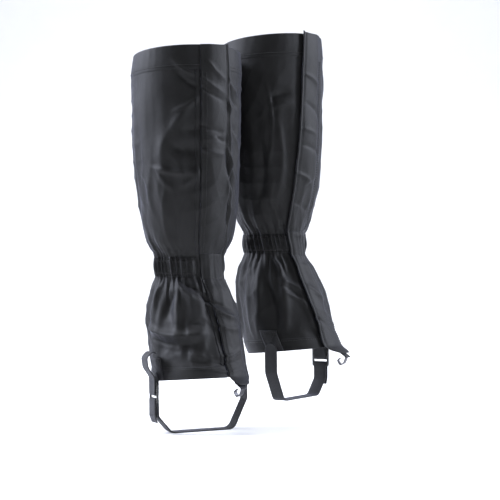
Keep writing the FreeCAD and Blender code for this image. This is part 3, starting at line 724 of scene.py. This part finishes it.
def steel(name, dark, light, roughness):
    """Plated steel, a little worn."""
    shader = Shader(name, roughness, Metallic=1.0)
    wear = shader.noise(180.0, 5.0)
    colour = shader.ramp(wear, 0.3, dark, 0.7, light)
    rough = shader.plus(shader.times(wear, 0.25), roughness - 0.1)
    return shader.connect(Base_Color=colour, Roughness=rough, Normal=shader.bump(wear, 0.15, 0.0002))


BLUISH = (0.6, 0.64, 0.95, 1.0)
MATERIALS = {
    "shell": fabric("shell_nylon", grey(0.055), grey(0.105), 0.7, 0.6, 0.13, BLUISH),
    "lining": fabric("inner_nylon", grey(0.07), grey(0.12), 0.9, 0.6, 0.08, BLUISH),
    "seam": fabric("seam_tape_cloth", grey(0.07), grey(0.12), 1.2, 0.6, 0.1, BLUISH),
    "webbing": webbing("strap_webbing", grey(0.08), grey(0.17)),
    "elastic": elastic("knitted_elastic", grey(0.06), grey(0.14)),
    "loop": pile("loop_pile", grey(0.05), grey(0.16), 1.4, 0.0008),
    "hooks": pile("hook_pile", grey(0.05), grey(0.15), 0.9, 0.0006),
    "thread": thread_material("black_thread", grey(0.05), grey(0.12)),
    "plastic": moulded("buckle_black", grey(0.06), grey(0.13)),
    "steel": steel("hook_metal", linear(0.2, 0.2, 0.21), linear(0.42, 0.42, 0.44), 0.38),
    "rivet": steel("rivet_metal", linear(0.35, 0.34, 0.33), linear(0.7, 0.69, 0.67), 0.28),
}


# ------------------------------------------------------------------ the sleeve
def flap_inside(angle):
    """The flap lies near the sleeve at its sewn edge and rises over the tapes."""
    return 0.5 + 2.7 * ease(0.0, 1.0, (9.0 - signed(angle)) / 13.0)


def make_panels(leg):
    """The two shell panels, which meet at the rear seam and stop short of the front opening."""
    half_seam = 0.25
    heights = (-0.4, 404.0)
    runs = {
        "outer_panel": (4.0, 180.0 - half_seam),
        "inner_panel": (180.0 + half_seam, 354.0),
    }
    for name, angles in runs.items():
        piece = cloth_piece(name + "_cloth", leg, between(*angles), heights, 0.0, -0.9)
        finish_piece(piece, leg, "sleeve", "shell", name)


def make_linings(leg):
    """The strip of cloth behind the front opening, and the tape inside the rear seam."""
    heights = (BINDING[1] + 1.5, BAND[0] - 1.5)
    edges = (-11.0, 12.0)
    piece = cloth_piece("front_underlap_cloth", leg, between(*edges), heights, -1.4, -2.4)
    finish_piece(piece, leg, "sleeve", "lining", "front_underlap")
    tape = cloth_piece("rear_seam_tape_cloth", leg, between(174.5, 185.5), heights, -1.4, -2.1)
    finish_piece(tape, leg, "sleeve", "seam", "rear_seam_tape")
    rows = np.arange(BINDING[1] + 2.0, BAND[0] - 2.0, 0.6)
    for number, angle in enumerate((177.6, 182.4)):
        sew("rear_stitches_%d" % number, leg, angle, rows, 0.0)


def band_profile(low, high, outer, inner, swell, stitched):
    """Cut end of a folded band: up its outside, over its folded edge, down its inside.

    stitched is how far up the band its row of stitches draws it in, from 0 to 1.
    """
    heights = np.linspace(low, high, 15)
    share = (heights - low) / (high - low)
    puff = swell * np.sin(math.pi * share) ** 0.6 - 0.12 * hill(share, stitched, 0.05)
    outside = [(outer + p, h) for p, h in zip(puff, heights)]
    middle, half = (outer + inner) / 2, (outer - inner) / 2
    turns = np.linspace(0, math.pi, 7)[1:-1]
    over = [(middle + half * math.cos(t), high + 0.9 * half * math.sin(t)) for t in turns]
    inside = [(inner - 0.3 * p, h) for p, h in zip(puff[::-1], heights[::-1])]
    under = [(middle - half * math.cos(t), low - 0.5 * half * math.sin(t)) for t in turns]
    return outside + over + inside + under


def make_top_band(leg):
    """The folded tunnel at the rim, a little puffed by the elastic inside it."""
    side = SIDES[leg]

    def ruched(angle, height, offset):
        turn = np.radians(angle)
        rows = np.sin(34 * turn + 2.0 * np.sin(5 * turn + side)) * (0.6 + 0.4 * np.sin(7 * turn))
        by_layer = np.where(offset > -0.6, 1.0, 0.3)
        return 0.1 * rows * by_layer * ease(BAND[0], BAND[0] + 8.0, height)

    profile = band_profile(BAND[0], BAND[1] - 1.2, 0.22, -2.1, 0.2, 0.16)
    band = band_piece("top_band_cloth", leg, BAND_ENDS, profile, 2.0, ruched)
    finish_piece(band, leg, "sleeve", "shell", "top_hem_band")
    ribbed = band_profile(BAND[0] + 6.5, BAND[1] - 2.8, -0.15, -1.05, 0.0, 0.16)
    knit = band_piece("top_elastic_knit", leg, (11.0, 353.0), ribbed)
    finish_piece(knit, leg, "sleeve", "elastic", "top_elastic")
    sew("top_band_stitches", leg, ROUND_THE_HEM, BAND[0] + 4.6, 0.3)


def make_hem_binding(leg):
    """The folded binding round the lower hem."""
    low, high = BINDING
    profile = band_profile(low + 0.8, high, 0.6, -2.1, 0.35, 0.84)
    band = band_piece("bottom_binding_cloth", leg, BAND_ENDS, profile)
    finish_piece(band, leg, "sleeve", "shell", "bottom_hem_binding")
    sew("bottom_stitches", leg, ROUND_THE_HEM, high - 2.2, 0.5)


def make_waist(leg):
    """The casing over the waist elastic, drawn into upright pleats."""
    low, high = CASING

    def pleated(angle, height, offset):
        turn = np.radians(signed(angle))
        wander = pleat_wander(leg, turn)
        fine = np.sin(71.0 * turn + 3.0 * wander)
        belly = np.sin(math.pi * np.clip((height - low) / (high - low), 0, 1)) ** 0.5
        return np.where(offset > 0.0, (0.6 * narrow_pleats(turn, wander) + 0.3 * fine) * belly, 0.0)

    share = np.linspace(0, 1, 17)
    heights = low + (high - low) * share
    grooves = hill(share, 0.12, 0.04) + hill(share, 0.88, 0.04)
    outside = 0.14 + 1.7 * np.sin(math.pi * share) ** 1.2 - 0.12 * grooves
    profile = list(zip(outside, heights)) + [(-0.3, high), (-0.3, low)]
    casing = band_piece("waist_casing_cloth", leg, (14.9, 353.6), profile, 0.8, pleated)
    finish_piece(casing, leg, "sleeve", "shell", "waist_casing")
    ribbed = [(1.15, h) for h in np.linspace(low + 4.0, high - 4.0, 11)]
    ribbed += [(0.35, high - 4.0), (0.35, low + 4.0)]
    knit = band_piece("waist_elastic_knit", leg, (17.5, 351.0), ribbed)
    finish_piece(knit, leg, "sleeve", "elastic", "waist_elastic")
    for number, height in enumerate((low + 3.1, high - 3.1)):
        angles = np.arange(15.4, 353.0, 0.4)
        sew("waist_stitches_%d" % number, leg, angles, height, 0.6, pitch=3.0)


# ------------------------------------------------------------------ the storm flap
def sewn_limits(height):
    """Both edges of the folded seam beside the flap."""
    return at_height("sewn", height) + 1.2, at_height("sewn", height) + 5.4


def flap_limits(height):
    """The flap's free edge and its sewn edge."""
    return at_height("free", height), at_height("sewn", height)


def make_seams(leg):
    """The folded seam beside the flap, and the closure tapes on the sleeve."""
    runs = {"low": (BINDING[1], CASING[0]), "high": (CASING[1], BAND[0])}
    for label, (low, high) in runs.items():
        name, heights = "flap_seam_" + label, (low + 2.0, high - 2.0)
        piece = cloth_piece(name + "_cloth", leg, sewn_limits, heights, 0.75, 0.05, (1.0, 2.0))
        finish_piece(piece, leg, "sleeve", "shell", name)
    for label, (low, high) in runs.items():
        name, heights = "loop_tape_" + label, (low + 3.0, high - 3.0)
        tape = cloth_piece(name + "_pile", leg, between(*TAPE_EDGES), heights, 1.3, 0.3)
        finish_piece(tape, leg, "sleeve", "loop", name)
        rows = np.arange(heights[0] + 1.0, heights[1] - 1.0, 0.8)
        for number, angle in enumerate((-20.0, -9.0)):
            sew("%s_stitches_%d" % (name, number), leg, angle, rows, 1.25)


def rounded_corner(distance, radius):
    """How far an edge draws back at a rounded corner. A radius below 0 makes it a point instead."""
    if radius <= 0:
        return radius * np.exp(-distance / 7.0)
    short = np.clip(1 - distance / radius, 0, 1)
    return radius * (1 - np.sqrt(1 - short ** 2))


def flap_piece(name, leg, heights, round_low=(0, 0), round_high=(0, 0), tuck=0.0):
    """One length of the flap. Corner radii are for the free and the sewn side.

    tuck is how far the flap's two ends are drawn in towards the leg.
    """
    columns = 33
    rows = max(8, int((heights[1] - heights[0]) / 1.6)) + 1
    across = np.linspace(0, 1, columns)[:, None].repeat(rows, 1)
    up = np.linspace(0, 1, rows)[None, :].repeat(columns, 0)
    from_free, from_sewn = across * FLAP_WIDTH, (1 - across) * FLAP_WIDTH
    low = heights[0] + rounded_corner(from_free, round_low[0]) + rounded_corner(from_sewn, round_low[1])
    high = heights[1] - rounded_corner(from_free, round_high[0]) - rounded_corner(from_sewn, round_high[1])
    height = low + (high - low) * up
    free, sewn = flap_limits(height)
    angle = free + (sewn - free) * across
    folded_edge = 0.9 * hill(from_free, 1.2, 1.6)
    stitched_in = 0.9 * hill(from_free, 4.6, 1.1)
    outer = flap_inside(angle) + FABRIC + folded_edge - stitched_in
    outer = outer - tuck * (1 - ease(0.0, 7.0, height - heights[0]))
    outer = outer - tuck * (1 - ease(0.0, 7.0, heights[1] - height))
    return sheet_solid(name, leg, angle, height, outer, outer - 1.0)


def sewn_place(leg, height, inward):
    """World point on the flap's sewn edge, or a few degrees inward of it."""
    level = np.array([float(height)])
    angle = at_height("sewn", level) - inward + at_height(leg + "_turn", level)
    out, ahead, up, across, forward = bare_wall(angle, level, 1.0)
    return Vector(to_world(leg, out, ahead, up)[0])


def seam_blend(piece, leg, heights):
    """Bake the piece's transform into its mesh. The seam's line and its inward direction are worked out
    but not used.
    """
    low, high = max(heights[0], 0.0), heights[1]
    along = (sewn_place(leg, high, 0.0) - sewn_place(leg, low, 0.0)).normalized()
    middle = 0.5 * (low + high)
    seam = sewn_place(leg, middle, 0.0)
    inward = sewn_place(leg, middle, 8.0) - seam
    inward = (inward - along * inward.dot(along)).normalized()
    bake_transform(piece)


def make_flap(leg):
    """The storm flap: a length above the waist, a short one across it, a length below."""
    waist = flap_piece("flap_waist_cloth", leg, FLAP_WAIST, tuck=1.25)
    finish_piece(waist, leg, "sleeve", "shell", "flap_waist")
    lengths = (
        ("low", "lower_flap", (FLAP_LOW[0], FLAP_LOW[1] + 3.5), (17, 13), (0, 0), 18.0),
        ("high", "upper_flap", (FLAP_HIGH[0] - 3.5, BAND[1] - 0.6), (0, 0), (-3, 0), 2.0),
    )
    for label, part, heights, round_low, round_high, hem_start in lengths:
        piece = flap_piece("flap_%s_cloth" % label, leg, heights, round_low, round_high)
        finish_piece(piece, leg, None, "shell", "flap_" + label)
        seam_blend(piece, leg, heights)
        sewn_stitches(leg, label, heights)
        rows = np.arange(heights[0] + hem_start, heights[1] - 2.0, 0.6)
        free, sewn = flap_limits(rows)
        angle = free + (sewn - free) * 5.0 / FLAP_WIDTH
        offset = flap_inside(angle) + FABRIC - 0.1
        sew("flap_%s_hem" % label, leg, angle, rows, offset, part)


def sewn_stitches(leg, label, heights):
    """The twin rows of stitches along the flap's sewn edge."""
    start = max(heights[0], 0.0) + 2.0
    rows = np.arange(start, min(heights[1] - 1.0, BAND[0] - 1.0), 0.6)
    for number, inward in enumerate((1.4, 5.4)):
        angle = at_height("sewn", rows) - inward
        offset = flap_inside(angle) + FABRIC + 0.12
        row = sew("flap_%s_seam_%d" % (label, number), leg, angle, rows, offset, None)
        seam_blend(row, leg, heights)


def make_hook_tapes(leg):
    """The closure tapes on the flap's inside, over those on the sleeve."""
    runs = (
        ("low", "lower_flap", BINDING[1] + 3.0, FLAP_LOW[1] - 3.0),
        ("high", "upper_flap", FLAP_HIGH[0] + 3.0, BAND[0] - 3.0),
    )
    for label, part, low, high in runs:
        name = "hook_tape_" + label
        tape = cloth_piece(name + "_pile", leg, between(*TAPE_EDGES), (low, high), 3.2, 1.9)
        finish_piece(tape, leg, part, "hooks", name)


# ------------------------------------------------------------------ straps
WEB_WIDTH = 20.0
WEB_THICK = 1.5
STRAP_AHEAD = 34.0
ANCHOR_MIDDLE = 82.5
STRAP_INSIDE = 62.7
BUCKLE_INSIDE = 64.5
BUCKLE_THICK = 3.0
BUCKLE_BOTTOM = 40.0
STRAP_TOP = HEM_LEVEL + WEB_WIDTH / 2
# How far out the webbing's middle is on the buckle's inner and outer side, and the radius of
# its turn round a bar of the buckle.
INNER_LAYER = STRAP_INSIDE + WEB_THICK / 2
OUTER_LAYER = 2 * (BUCKLE_INSIDE + BUCKLE_THICK / 2) - INNER_LAYER
BAR_RADIUS = (OUTER_LAYER - INNER_LAYER) / 2
BAR_BEND = BAR_RADIUS * 0.999
TAIL_START = BUCKLE_BOTTOM + 28.0


def rounded_route(points, bends, arc_steps=10):
    """A line through points whose corners are arcs, each with its own radius."""
    route = [Vector(points[0])]
    for before, corner, after, radius in zip(points, points[1:], points[2:], bends):
        before, corner, after = Vector(before), Vector(corner), Vector(after)
        into, out = (corner - before).normalized(), (after - corner).normalized()
        turn = into.angle(out)
        first = corner - into * (radius * math.tan(turn / 2))
        side_way = (out - into * into.dot(out)).normalized()
        for step in range(arc_steps + 1):
            swing = turn * (step / arc_steps)
            along, aside = radius * math.sin(swing), radius * (1 - math.cos(swing))
            route.append(first + into * along + side_way * aside)
    route.append(Vector(points[-1]))
    return route


def even_route(points, bends, step):
    """Points about every step millimetres, their directions, and how far along they are."""
    line = np.array([tuple(p) for p in rounded_route(points, bends)])
    lengths = np.linalg.norm(np.diff(line, axis=0), axis=1)
    line = line[np.concatenate(([True], lengths > 1e-6))]
    travelled = np.concatenate(([0.0], np.cumsum(np.linalg.norm(np.diff(line, axis=0), axis=1))))
    places = np.linspace(0, travelled[-1], max(4, int(travelled[-1] / step)))
    even = np.stack([np.interp(places, travelled, line[:, i]) for i in range(line.shape[1])], axis=1)
    ways = np.gradient(even, axis=0)
    return even, ways / np.linalg.norm(ways, axis=1)[:, None], places


def strip_section(width, thick, corner):
    """Cut end of webbing: a flat shape with rounded edges, as (across, through) rows."""
    half, up = width / 2 - corner, thick / 2
    flat = np.linspace(-half, half, 11)
    turns = np.linspace(0, math.pi, 6)[1:-1]
    section = [(x, up) for x in flat]
    section += [(half + corner * math.sin(t), up * math.cos(t)) for t in turns]
    section += [(x, -up) for x in flat[::-1]]
    section += [(-half - corner * math.sin(t), -up * math.cos(t)) for t in turns]
    return np.array(section).T[:, None, :]


def strap_strip(name, leg, points, bends, round_start=0.0, round_end=0.0):
    """Webbing that follows (out, up) points in the strap's plane across the foot."""
    line, ways, places = even_route(points, bends, 1.2)
    width, thick = strip_section(WEB_WIDTH, WEB_THICK, 0.7)
    share = np.ones(len(places))
    for radius, distance in ((round_start, places), (round_end, places[-1] - places)):
        if radius:
            short = np.clip(1 - distance / radius, 0, 0.97)
            share = np.minimum(share, np.sqrt(1 - short ** 2))
    across = width * share[:, None]
    scallop = 0.12 * np.sin(places * 2 * math.pi / 2.9)[:, None] * (np.abs(width) > 9.0)
    out = line[:, :1] + ways[:, 1:] * thick
    up = line[:, 1:] - ways[:, :1] * thick
    ahead = STRAP_AHEAD + across + scallop * np.sign(width)
    weave = np.stack(np.broadcast_arrays(across, places[:, None]), axis=-1)
    return swept(leg + "_" + name + "_webbing", to_world(leg, out, ahead, up), weave)


def make_straps(leg):
    """The strap under the foot, the short strap that holds the buckle, and the strap's tail."""
    sole, inner, outer = WEB_THICK / 2, INNER_LAYER, OUTER_LAYER
    over_bar = BUCKLE_BOTTOM + 4.0 + BAR_RADIUS
    instep = [
        (-inner, STRAP_TOP), (-inner, 40.0), (-44.0, sole), (44.0, sole), (inner, 23.0),
        (inner, over_bar), (outer, over_bar), (outer, 23.75), (inner + 0.3 + WEB_THICK, 15.0),
    ]
    bends = [14.0, 11.0, 11.0, 8.0, BAR_BEND, BAR_BEND, 4.0]
    strap = strap_strip("instep", leg, instep, bends, round_start=9.6)
    finish_piece(strap, leg, "strap", "webbing", "instep_strap")
    low = BUCKLE_BOTTOM + 13.0 - BAR_RADIUS
    adjuster = [(inner, STRAP_TOP), (inner, low), (outer, low), (outer, TAIL_START + 0.3)]
    strap = strap_strip("adjuster", leg, adjuster, [BAR_BEND, BAR_BEND], round_start=9.6)
    finish_piece(strap, leg, "strap", "webbing", "adjuster_strap")
    tail = [
        (outer, TAIL_START - 0.3), (outer, TAIL_START + 6.0), (outer + 9.0, TAIL_START + 19.0),
        (outer + 10.5, TAIL_START + 32.0), (outer + 3.0, TAIL_START + 39.5),
        (outer - 4.0, TAIL_START + 36.5),
    ]
    strap = strap_strip("tail", leg, tail, [12.0, 15.0, 6.5, 5.0], round_end=3.0)
    finish_piece(strap, leg, "strap", "webbing", "strap_tail")


def make_anchors(leg):
    """Webbing patches sewn on the hem with a boxed cross of stitches."""
    for label, middle in (("outer", ANCHOR_MIDDLE), ("inner", 360.0 - ANCHOR_MIDDLE)):
        def limits(height, middle=middle):
            centre = middle - at_height(leg + "_turn", height)
            return centre - 10.2, centre + 10.2
        name = label + "_anchor_webbing"
        patch = cloth_piece(name, leg, limits, (-1.2, 26.7), 2.5, 1.25, (1.4, 1.4))
        finish_piece(patch, leg, "sleeve", "webbing", label + "_strap_anchor")
        route = np.array([(-8, 2), (8, 2), (8, 24), (-8, 24), (-8, 2), (8, 24)], float)
        walk = np.concatenate([np.linspace(a, b, 30) for a, b in zip(route, route[1:])])
        angle = middle - at_height(leg + "_turn", walk[:, 1]) + walk[:, 0]
        sew(label + "_anchor_stitches", leg, angle, walk[:, 1], 2.5, pitch=3.0)


# The buckle's half width, its slots' half width, the levels of its bars and slots, which cells
# of that grid are slots, and the level of its finger ridges.
BUCKLE_SIDE = 13.5
SLOT_SIDE = 10.7
BUCKLE_CUTS = (0.0, 4.0, 13.0, 16.5, 23.0, 27.0)
SLOTS = ((1, 1), (1, 3))
RIDGE_LEVEL = 24.9


def frame_cells(across_cuts, up_cuts):
    """Corners and quads of a flat frame: a grid of cells without the slots."""
    points = [(0.0, a, u) for u in up_cuts for a in across_cuts]
    wide = len(across_cuts)
    starts = [r * wide + c for r in range(len(up_cuts) - 1) for c in range(wide - 1)
              if (c, r) not in SLOTS]
    return points, [(start, start + 1, start + wide + 1, start + wide) for start in starts]


def is_corner(edge, low, top):
    """True for the four edges through the thickness at the buckle's outer corners."""
    first, last = (v.co for v in edge.verts)
    straight = abs(first.z - last.z) < 0.01 and abs(first.y - last.y) < 0.01
    outside = abs(abs(first.y) - BUCKLE_SIDE) < 0.01
    return straight and outside and min(abs(first.z - low), abs(first.z - top)) < 0.01


def make_buckle(leg):
    """Moulded ladder buckle: a frame with two slots, its edges rounded over."""
    up_cuts = [BUCKLE_BOTTOM + cut for cut in BUCKLE_CUTS]
    points, cells = frame_cells((-BUCKLE_SIDE, -SLOT_SIDE, SLOT_SIDE, BUCKLE_SIDE), up_cuts)
    work = bmesh.new()
    flat = [work.verts.new(point) for point in points]
    for cell in cells:
        work.faces.new([flat[i] for i in cell])
    thick = bmesh.ops.extrude_face_region(work, geom=list(work.faces))
    moved = [item for item in thick["geom"] if isinstance(item, bmesh.types.BMVert)]
    bmesh.ops.translate(work, verts=moved, vec=(BUCKLE_THICK, 0, 0))
    bmesh.ops.recalc_face_normals(work, faces=work.faces)
    corners = [e for e in work.edges if is_corner(e, up_cuts[0], up_cuts[-1])]
    bmesh.ops.bevel(work, geom=corners, offset=2.4, segments=5, affect="EDGES", profile=0.5)
    sharp = [e for e in work.edges if len(e.link_faces) == 2 and e.calc_face_angle(0.0) > 1.0]
    bmesh.ops.bevel(work, geom=sharp, offset=0.55, segments=3, affect="EDGES", profile=0.5)
    mesh = bpy.data.meshes.new(leg + "_ladder_buckle")
    work.to_mesh(mesh)
    work.free()
    through, across, up = np.array([v.co for v in mesh.vertices]).T
    by_edge = np.abs(up - BUCKLE_BOTTOM - RIDGE_LEVEL) < 1.2
    ridge = 0.45 * (np.cos(across * 2 * math.pi / 1.9) > 0) * by_edge * (through > 2.9)
    placed = to_world(leg, BUCKLE_INSIDE + through + ridge, STRAP_AHEAD + across, up)
    for vertex, place in zip(mesh.vertices, placed):
        vertex.co = place
    if SIDES[leg] > 0:
        mesh.flip_normals()
    mesh.shade_smooth()
    mesh.set_sharp_from_angle(angle=math.radians(42.0))
    finish_piece(add_object(mesh), leg, "strap", "plastic", "buckle")


# ------------------------------------------------------------------ lace hook
# How steeply the hook's tab slopes down ahead, and the level of its upper end.
HOOK_SLOPE = math.radians(34.0)
HOOK_LEVEL = 68.6
# How far inward and ahead the hook sits, and how far it is turned.
HOOK_SEAT = {"right": (25.0, 97.0, math.radians(25.0)), "left": (-3.0, 105.5, math.radians(-3.0))}
# The tab's width, length and thickness.
TAB = (13.0, 14.0, 1.4)
HOOK_WIDTH = 8.0
HOOK_THICK = 1.1


def hook_points(leg, beside, along, under):
    """World points under the flap's tip: beside, down the slope, and below the tab's top."""
    inward, ahead, turn = HOOK_SEAT[leg]
    forward = along * math.cos(HOOK_SLOPE) - under * math.sin(HOOK_SLOPE)
    up = HOOK_LEVEL - along * math.sin(HOOK_SLOPE) - under * math.cos(HOOK_SLOPE)
    out = -inward + beside * math.cos(turn) - forward * math.sin(turn)
    return to_world(leg, out, ahead + beside * math.sin(turn) + forward * math.cos(turn), up)


def hook_strip(name, leg, points, bends, width, thick, corner, taper=0.0):
    """A strip bent along (along, through) points in the hook's own plane."""
    line, ways, places = even_route(points, bends, 0.5)
    side_by_side, lift = strip_section(width, thick, corner)
    share = 1 - taper * ease(0.55 * places[-1], places[-1], places)
    beside = side_by_side * share[:, None]
    along = line[:, :1] - ways[:, 1:] * lift
    through = line[:, 1:] + ways[:, :1] * lift
    weave = np.stack(np.broadcast_arrays(beside, places[:, None]), axis=-1)
    return swept(leg + "_" + name, hook_points(leg, beside, along, -through), weave)


def make_lace_hook(leg):
    """The webbing tab under the flap's tip, and the bent steel hook riveted to it."""
    wide, length, thick = TAB
    middle = -thick / 2
    tab = hook_strip("tab_webbing", leg, [(0.0, middle), (length, middle)], [], wide, thick, 0.65)
    finish_piece(tab, leg, "hook", "webbing", "lace_hook_tab")
    half, curl, shank, plate = HOOK_THICK / 2, 3.2, 9.0, 10.0
    back = plate - 2 * curl - 2.0
    points = [
        (0.0, -half), (plate, -half), (plate + 1.5, -shank), (plate - 1.0, -shank - 2 * curl),
        (back, -shank - curl), (back + 1.0, 1.5 - shank),
    ]
    seat = [(2.0 + along, through - thick - 0.05) for along, through in points]
    bends = [1.8, curl, curl * 0.8, 1.5]
    hook = hook_strip("lace_hook_steel", leg, seat, bends, HOOK_WIDTH, HOOK_THICK, 0.5, 0.3)
    finish_piece(hook, leg, "hook", "steel", "lace_hook")
    make_rivet(leg, 6.0, thick + 0.05 + HOOK_THICK + 0.02)


def make_rivet(leg, along, under):
    """Domed rivet head through the hook's plate."""
    radii = np.array([0.05, 0.9, 1.6, 2.1, 2.35, 2.4])[:, None]
    rises = np.array([0.9, 0.86, 0.7, 0.42, 0.15, 0.0])[:, None]
    turns = np.linspace(0, 2 * math.pi, 24, endpoint=False)
    through = under + rises + 0 * turns
    points = hook_points(leg, radii * np.cos(turns), along + radii * np.sin(turns), through)
    dome = swept(leg + "_rivet_head", points)
    finish_piece(dome, leg, "hook", "rivet", "lace_hook_rivet")


# ------------------------------------------------------------------ floor, light, camera
VIEW_TURN = math.radians(40.68)


def beside_view(right, away, up):
    """A place given across, away from and above the camera's line of sight."""
    x = right * math.cos(VIEW_TURN) + away * math.sin(VIEW_TURN)
    y = -right * math.sin(VIEW_TURN) + away * math.cos(VIEW_TURN)
    return x, y, up


def plain_material(name, colour, roughness):
    shader = Shader(name, roughness)
    grain = shader.noise(14.0, 3.0)
    darker = tuple(0.985 * v for v in colour[:3]) + (1.0,)
    return shader.connect(Base_Color=shader.ramp(grain, 0.3, darker, 0.7, colour))


def make_floor():
    """A pale studio sweep: a floor that curves up behind the gaiters."""
    half_width, front, back, height, bend = 4.0, -3.0, 3.2, 4.0, 1.6
    profile = [(front, 0.0)]
    profile += [(back - bend + bend * math.sin(t), bend - bend * math.cos(t))
                for t in np.linspace(0, math.pi / 2, 13)]
    profile.append((back, height))
    points = [beside_view(across, along, up)
              for across in (-half_width, half_width) for along, up in profile]
    size = len(profile)
    faces = [(k, size + k, size + k + 1, k + 1) for k in range(size - 1)]
    floor = new_mesh("studio_floor", points, faces)
    floor.data.materials.append(plain_material("studio_paper", (0.9, 0.9, 0.9, 1.0), 0.8))


def area_light(name, place, width, power, colour):
    """A square light that shines on the middle of the pair."""
    light = bpy.data.lights.new(name, "AREA")
    light.shape = "SQUARE"
    light.size = width
    light.energy = power
    light.color = colour
    lamp = add_object(light)
    lamp.location = place
    lamp.rotation_euler = (Vector((0.0, 0.0, 0.3)) - Vector(place)).to_track_quat("-Z", "Y").to_euler()


def make_lights():
    world = bpy.data.worlds.new("studio")
    world.use_nodes = True
    back = world.node_tree.nodes["Background"]
    back.inputs["Color"].default_value = (0.95, 0.97, 1.0, 1.0)
    back.inputs["Strength"].default_value = 0.3
    bpy.context.scene.world = world
    bpy.context.scene.view_settings.view_transform = "Standard"
    area_light("left_key", beside_view(-1.9, 0.3, 1.3), 0.8, 92.0, (0.82, 0.86, 1.0))
    area_light("right_key", beside_view(2.0, 0.1, 1.2), 0.8, 78.0, (0.84, 0.88, 1.0))
    area_light("top", beside_view(-0.4, 0.2, 2.6), 1.2, 60.0, (0.97, 0.98, 1.0))


def make_camera():
    camera = bpy.data.cameras.new("camera")
    camera.lens = 101.1
    camera.sensor_width = 36.0
    thing = add_object(camera)
    thing.location = (-1.2445, -1.4641, 0.2386)
    turn, dip, roll = VIEW_TURN, 0.0003, -0.0085
    way = Vector((math.sin(turn) * math.cos(dip), math.cos(turn) * math.cos(dip), -math.sin(dip)))
    level = way.to_track_quat("-Z", "Y").to_matrix()
    thing.rotation_euler = (level @ Matrix.Rotation(roll, 3, "Z")).to_euler()
    bpy.context.scene.camera = thing


# ------------------------------------------------------------------ build
make_camera()
make_lights()
make_floor()
MAKERS = (
    make_panels, make_linings, make_top_band, make_hem_binding, make_waist, make_seams,
    make_flap, make_hook_tapes, make_anchors, make_straps, make_buckle, make_lace_hook,
)
for gaiter in SIDES:
    settle(gaiter)
bpy.context.scene.frame_set(1)
for gaiter in SIDES:
    for make in MAKERS:
        make(gaiter)
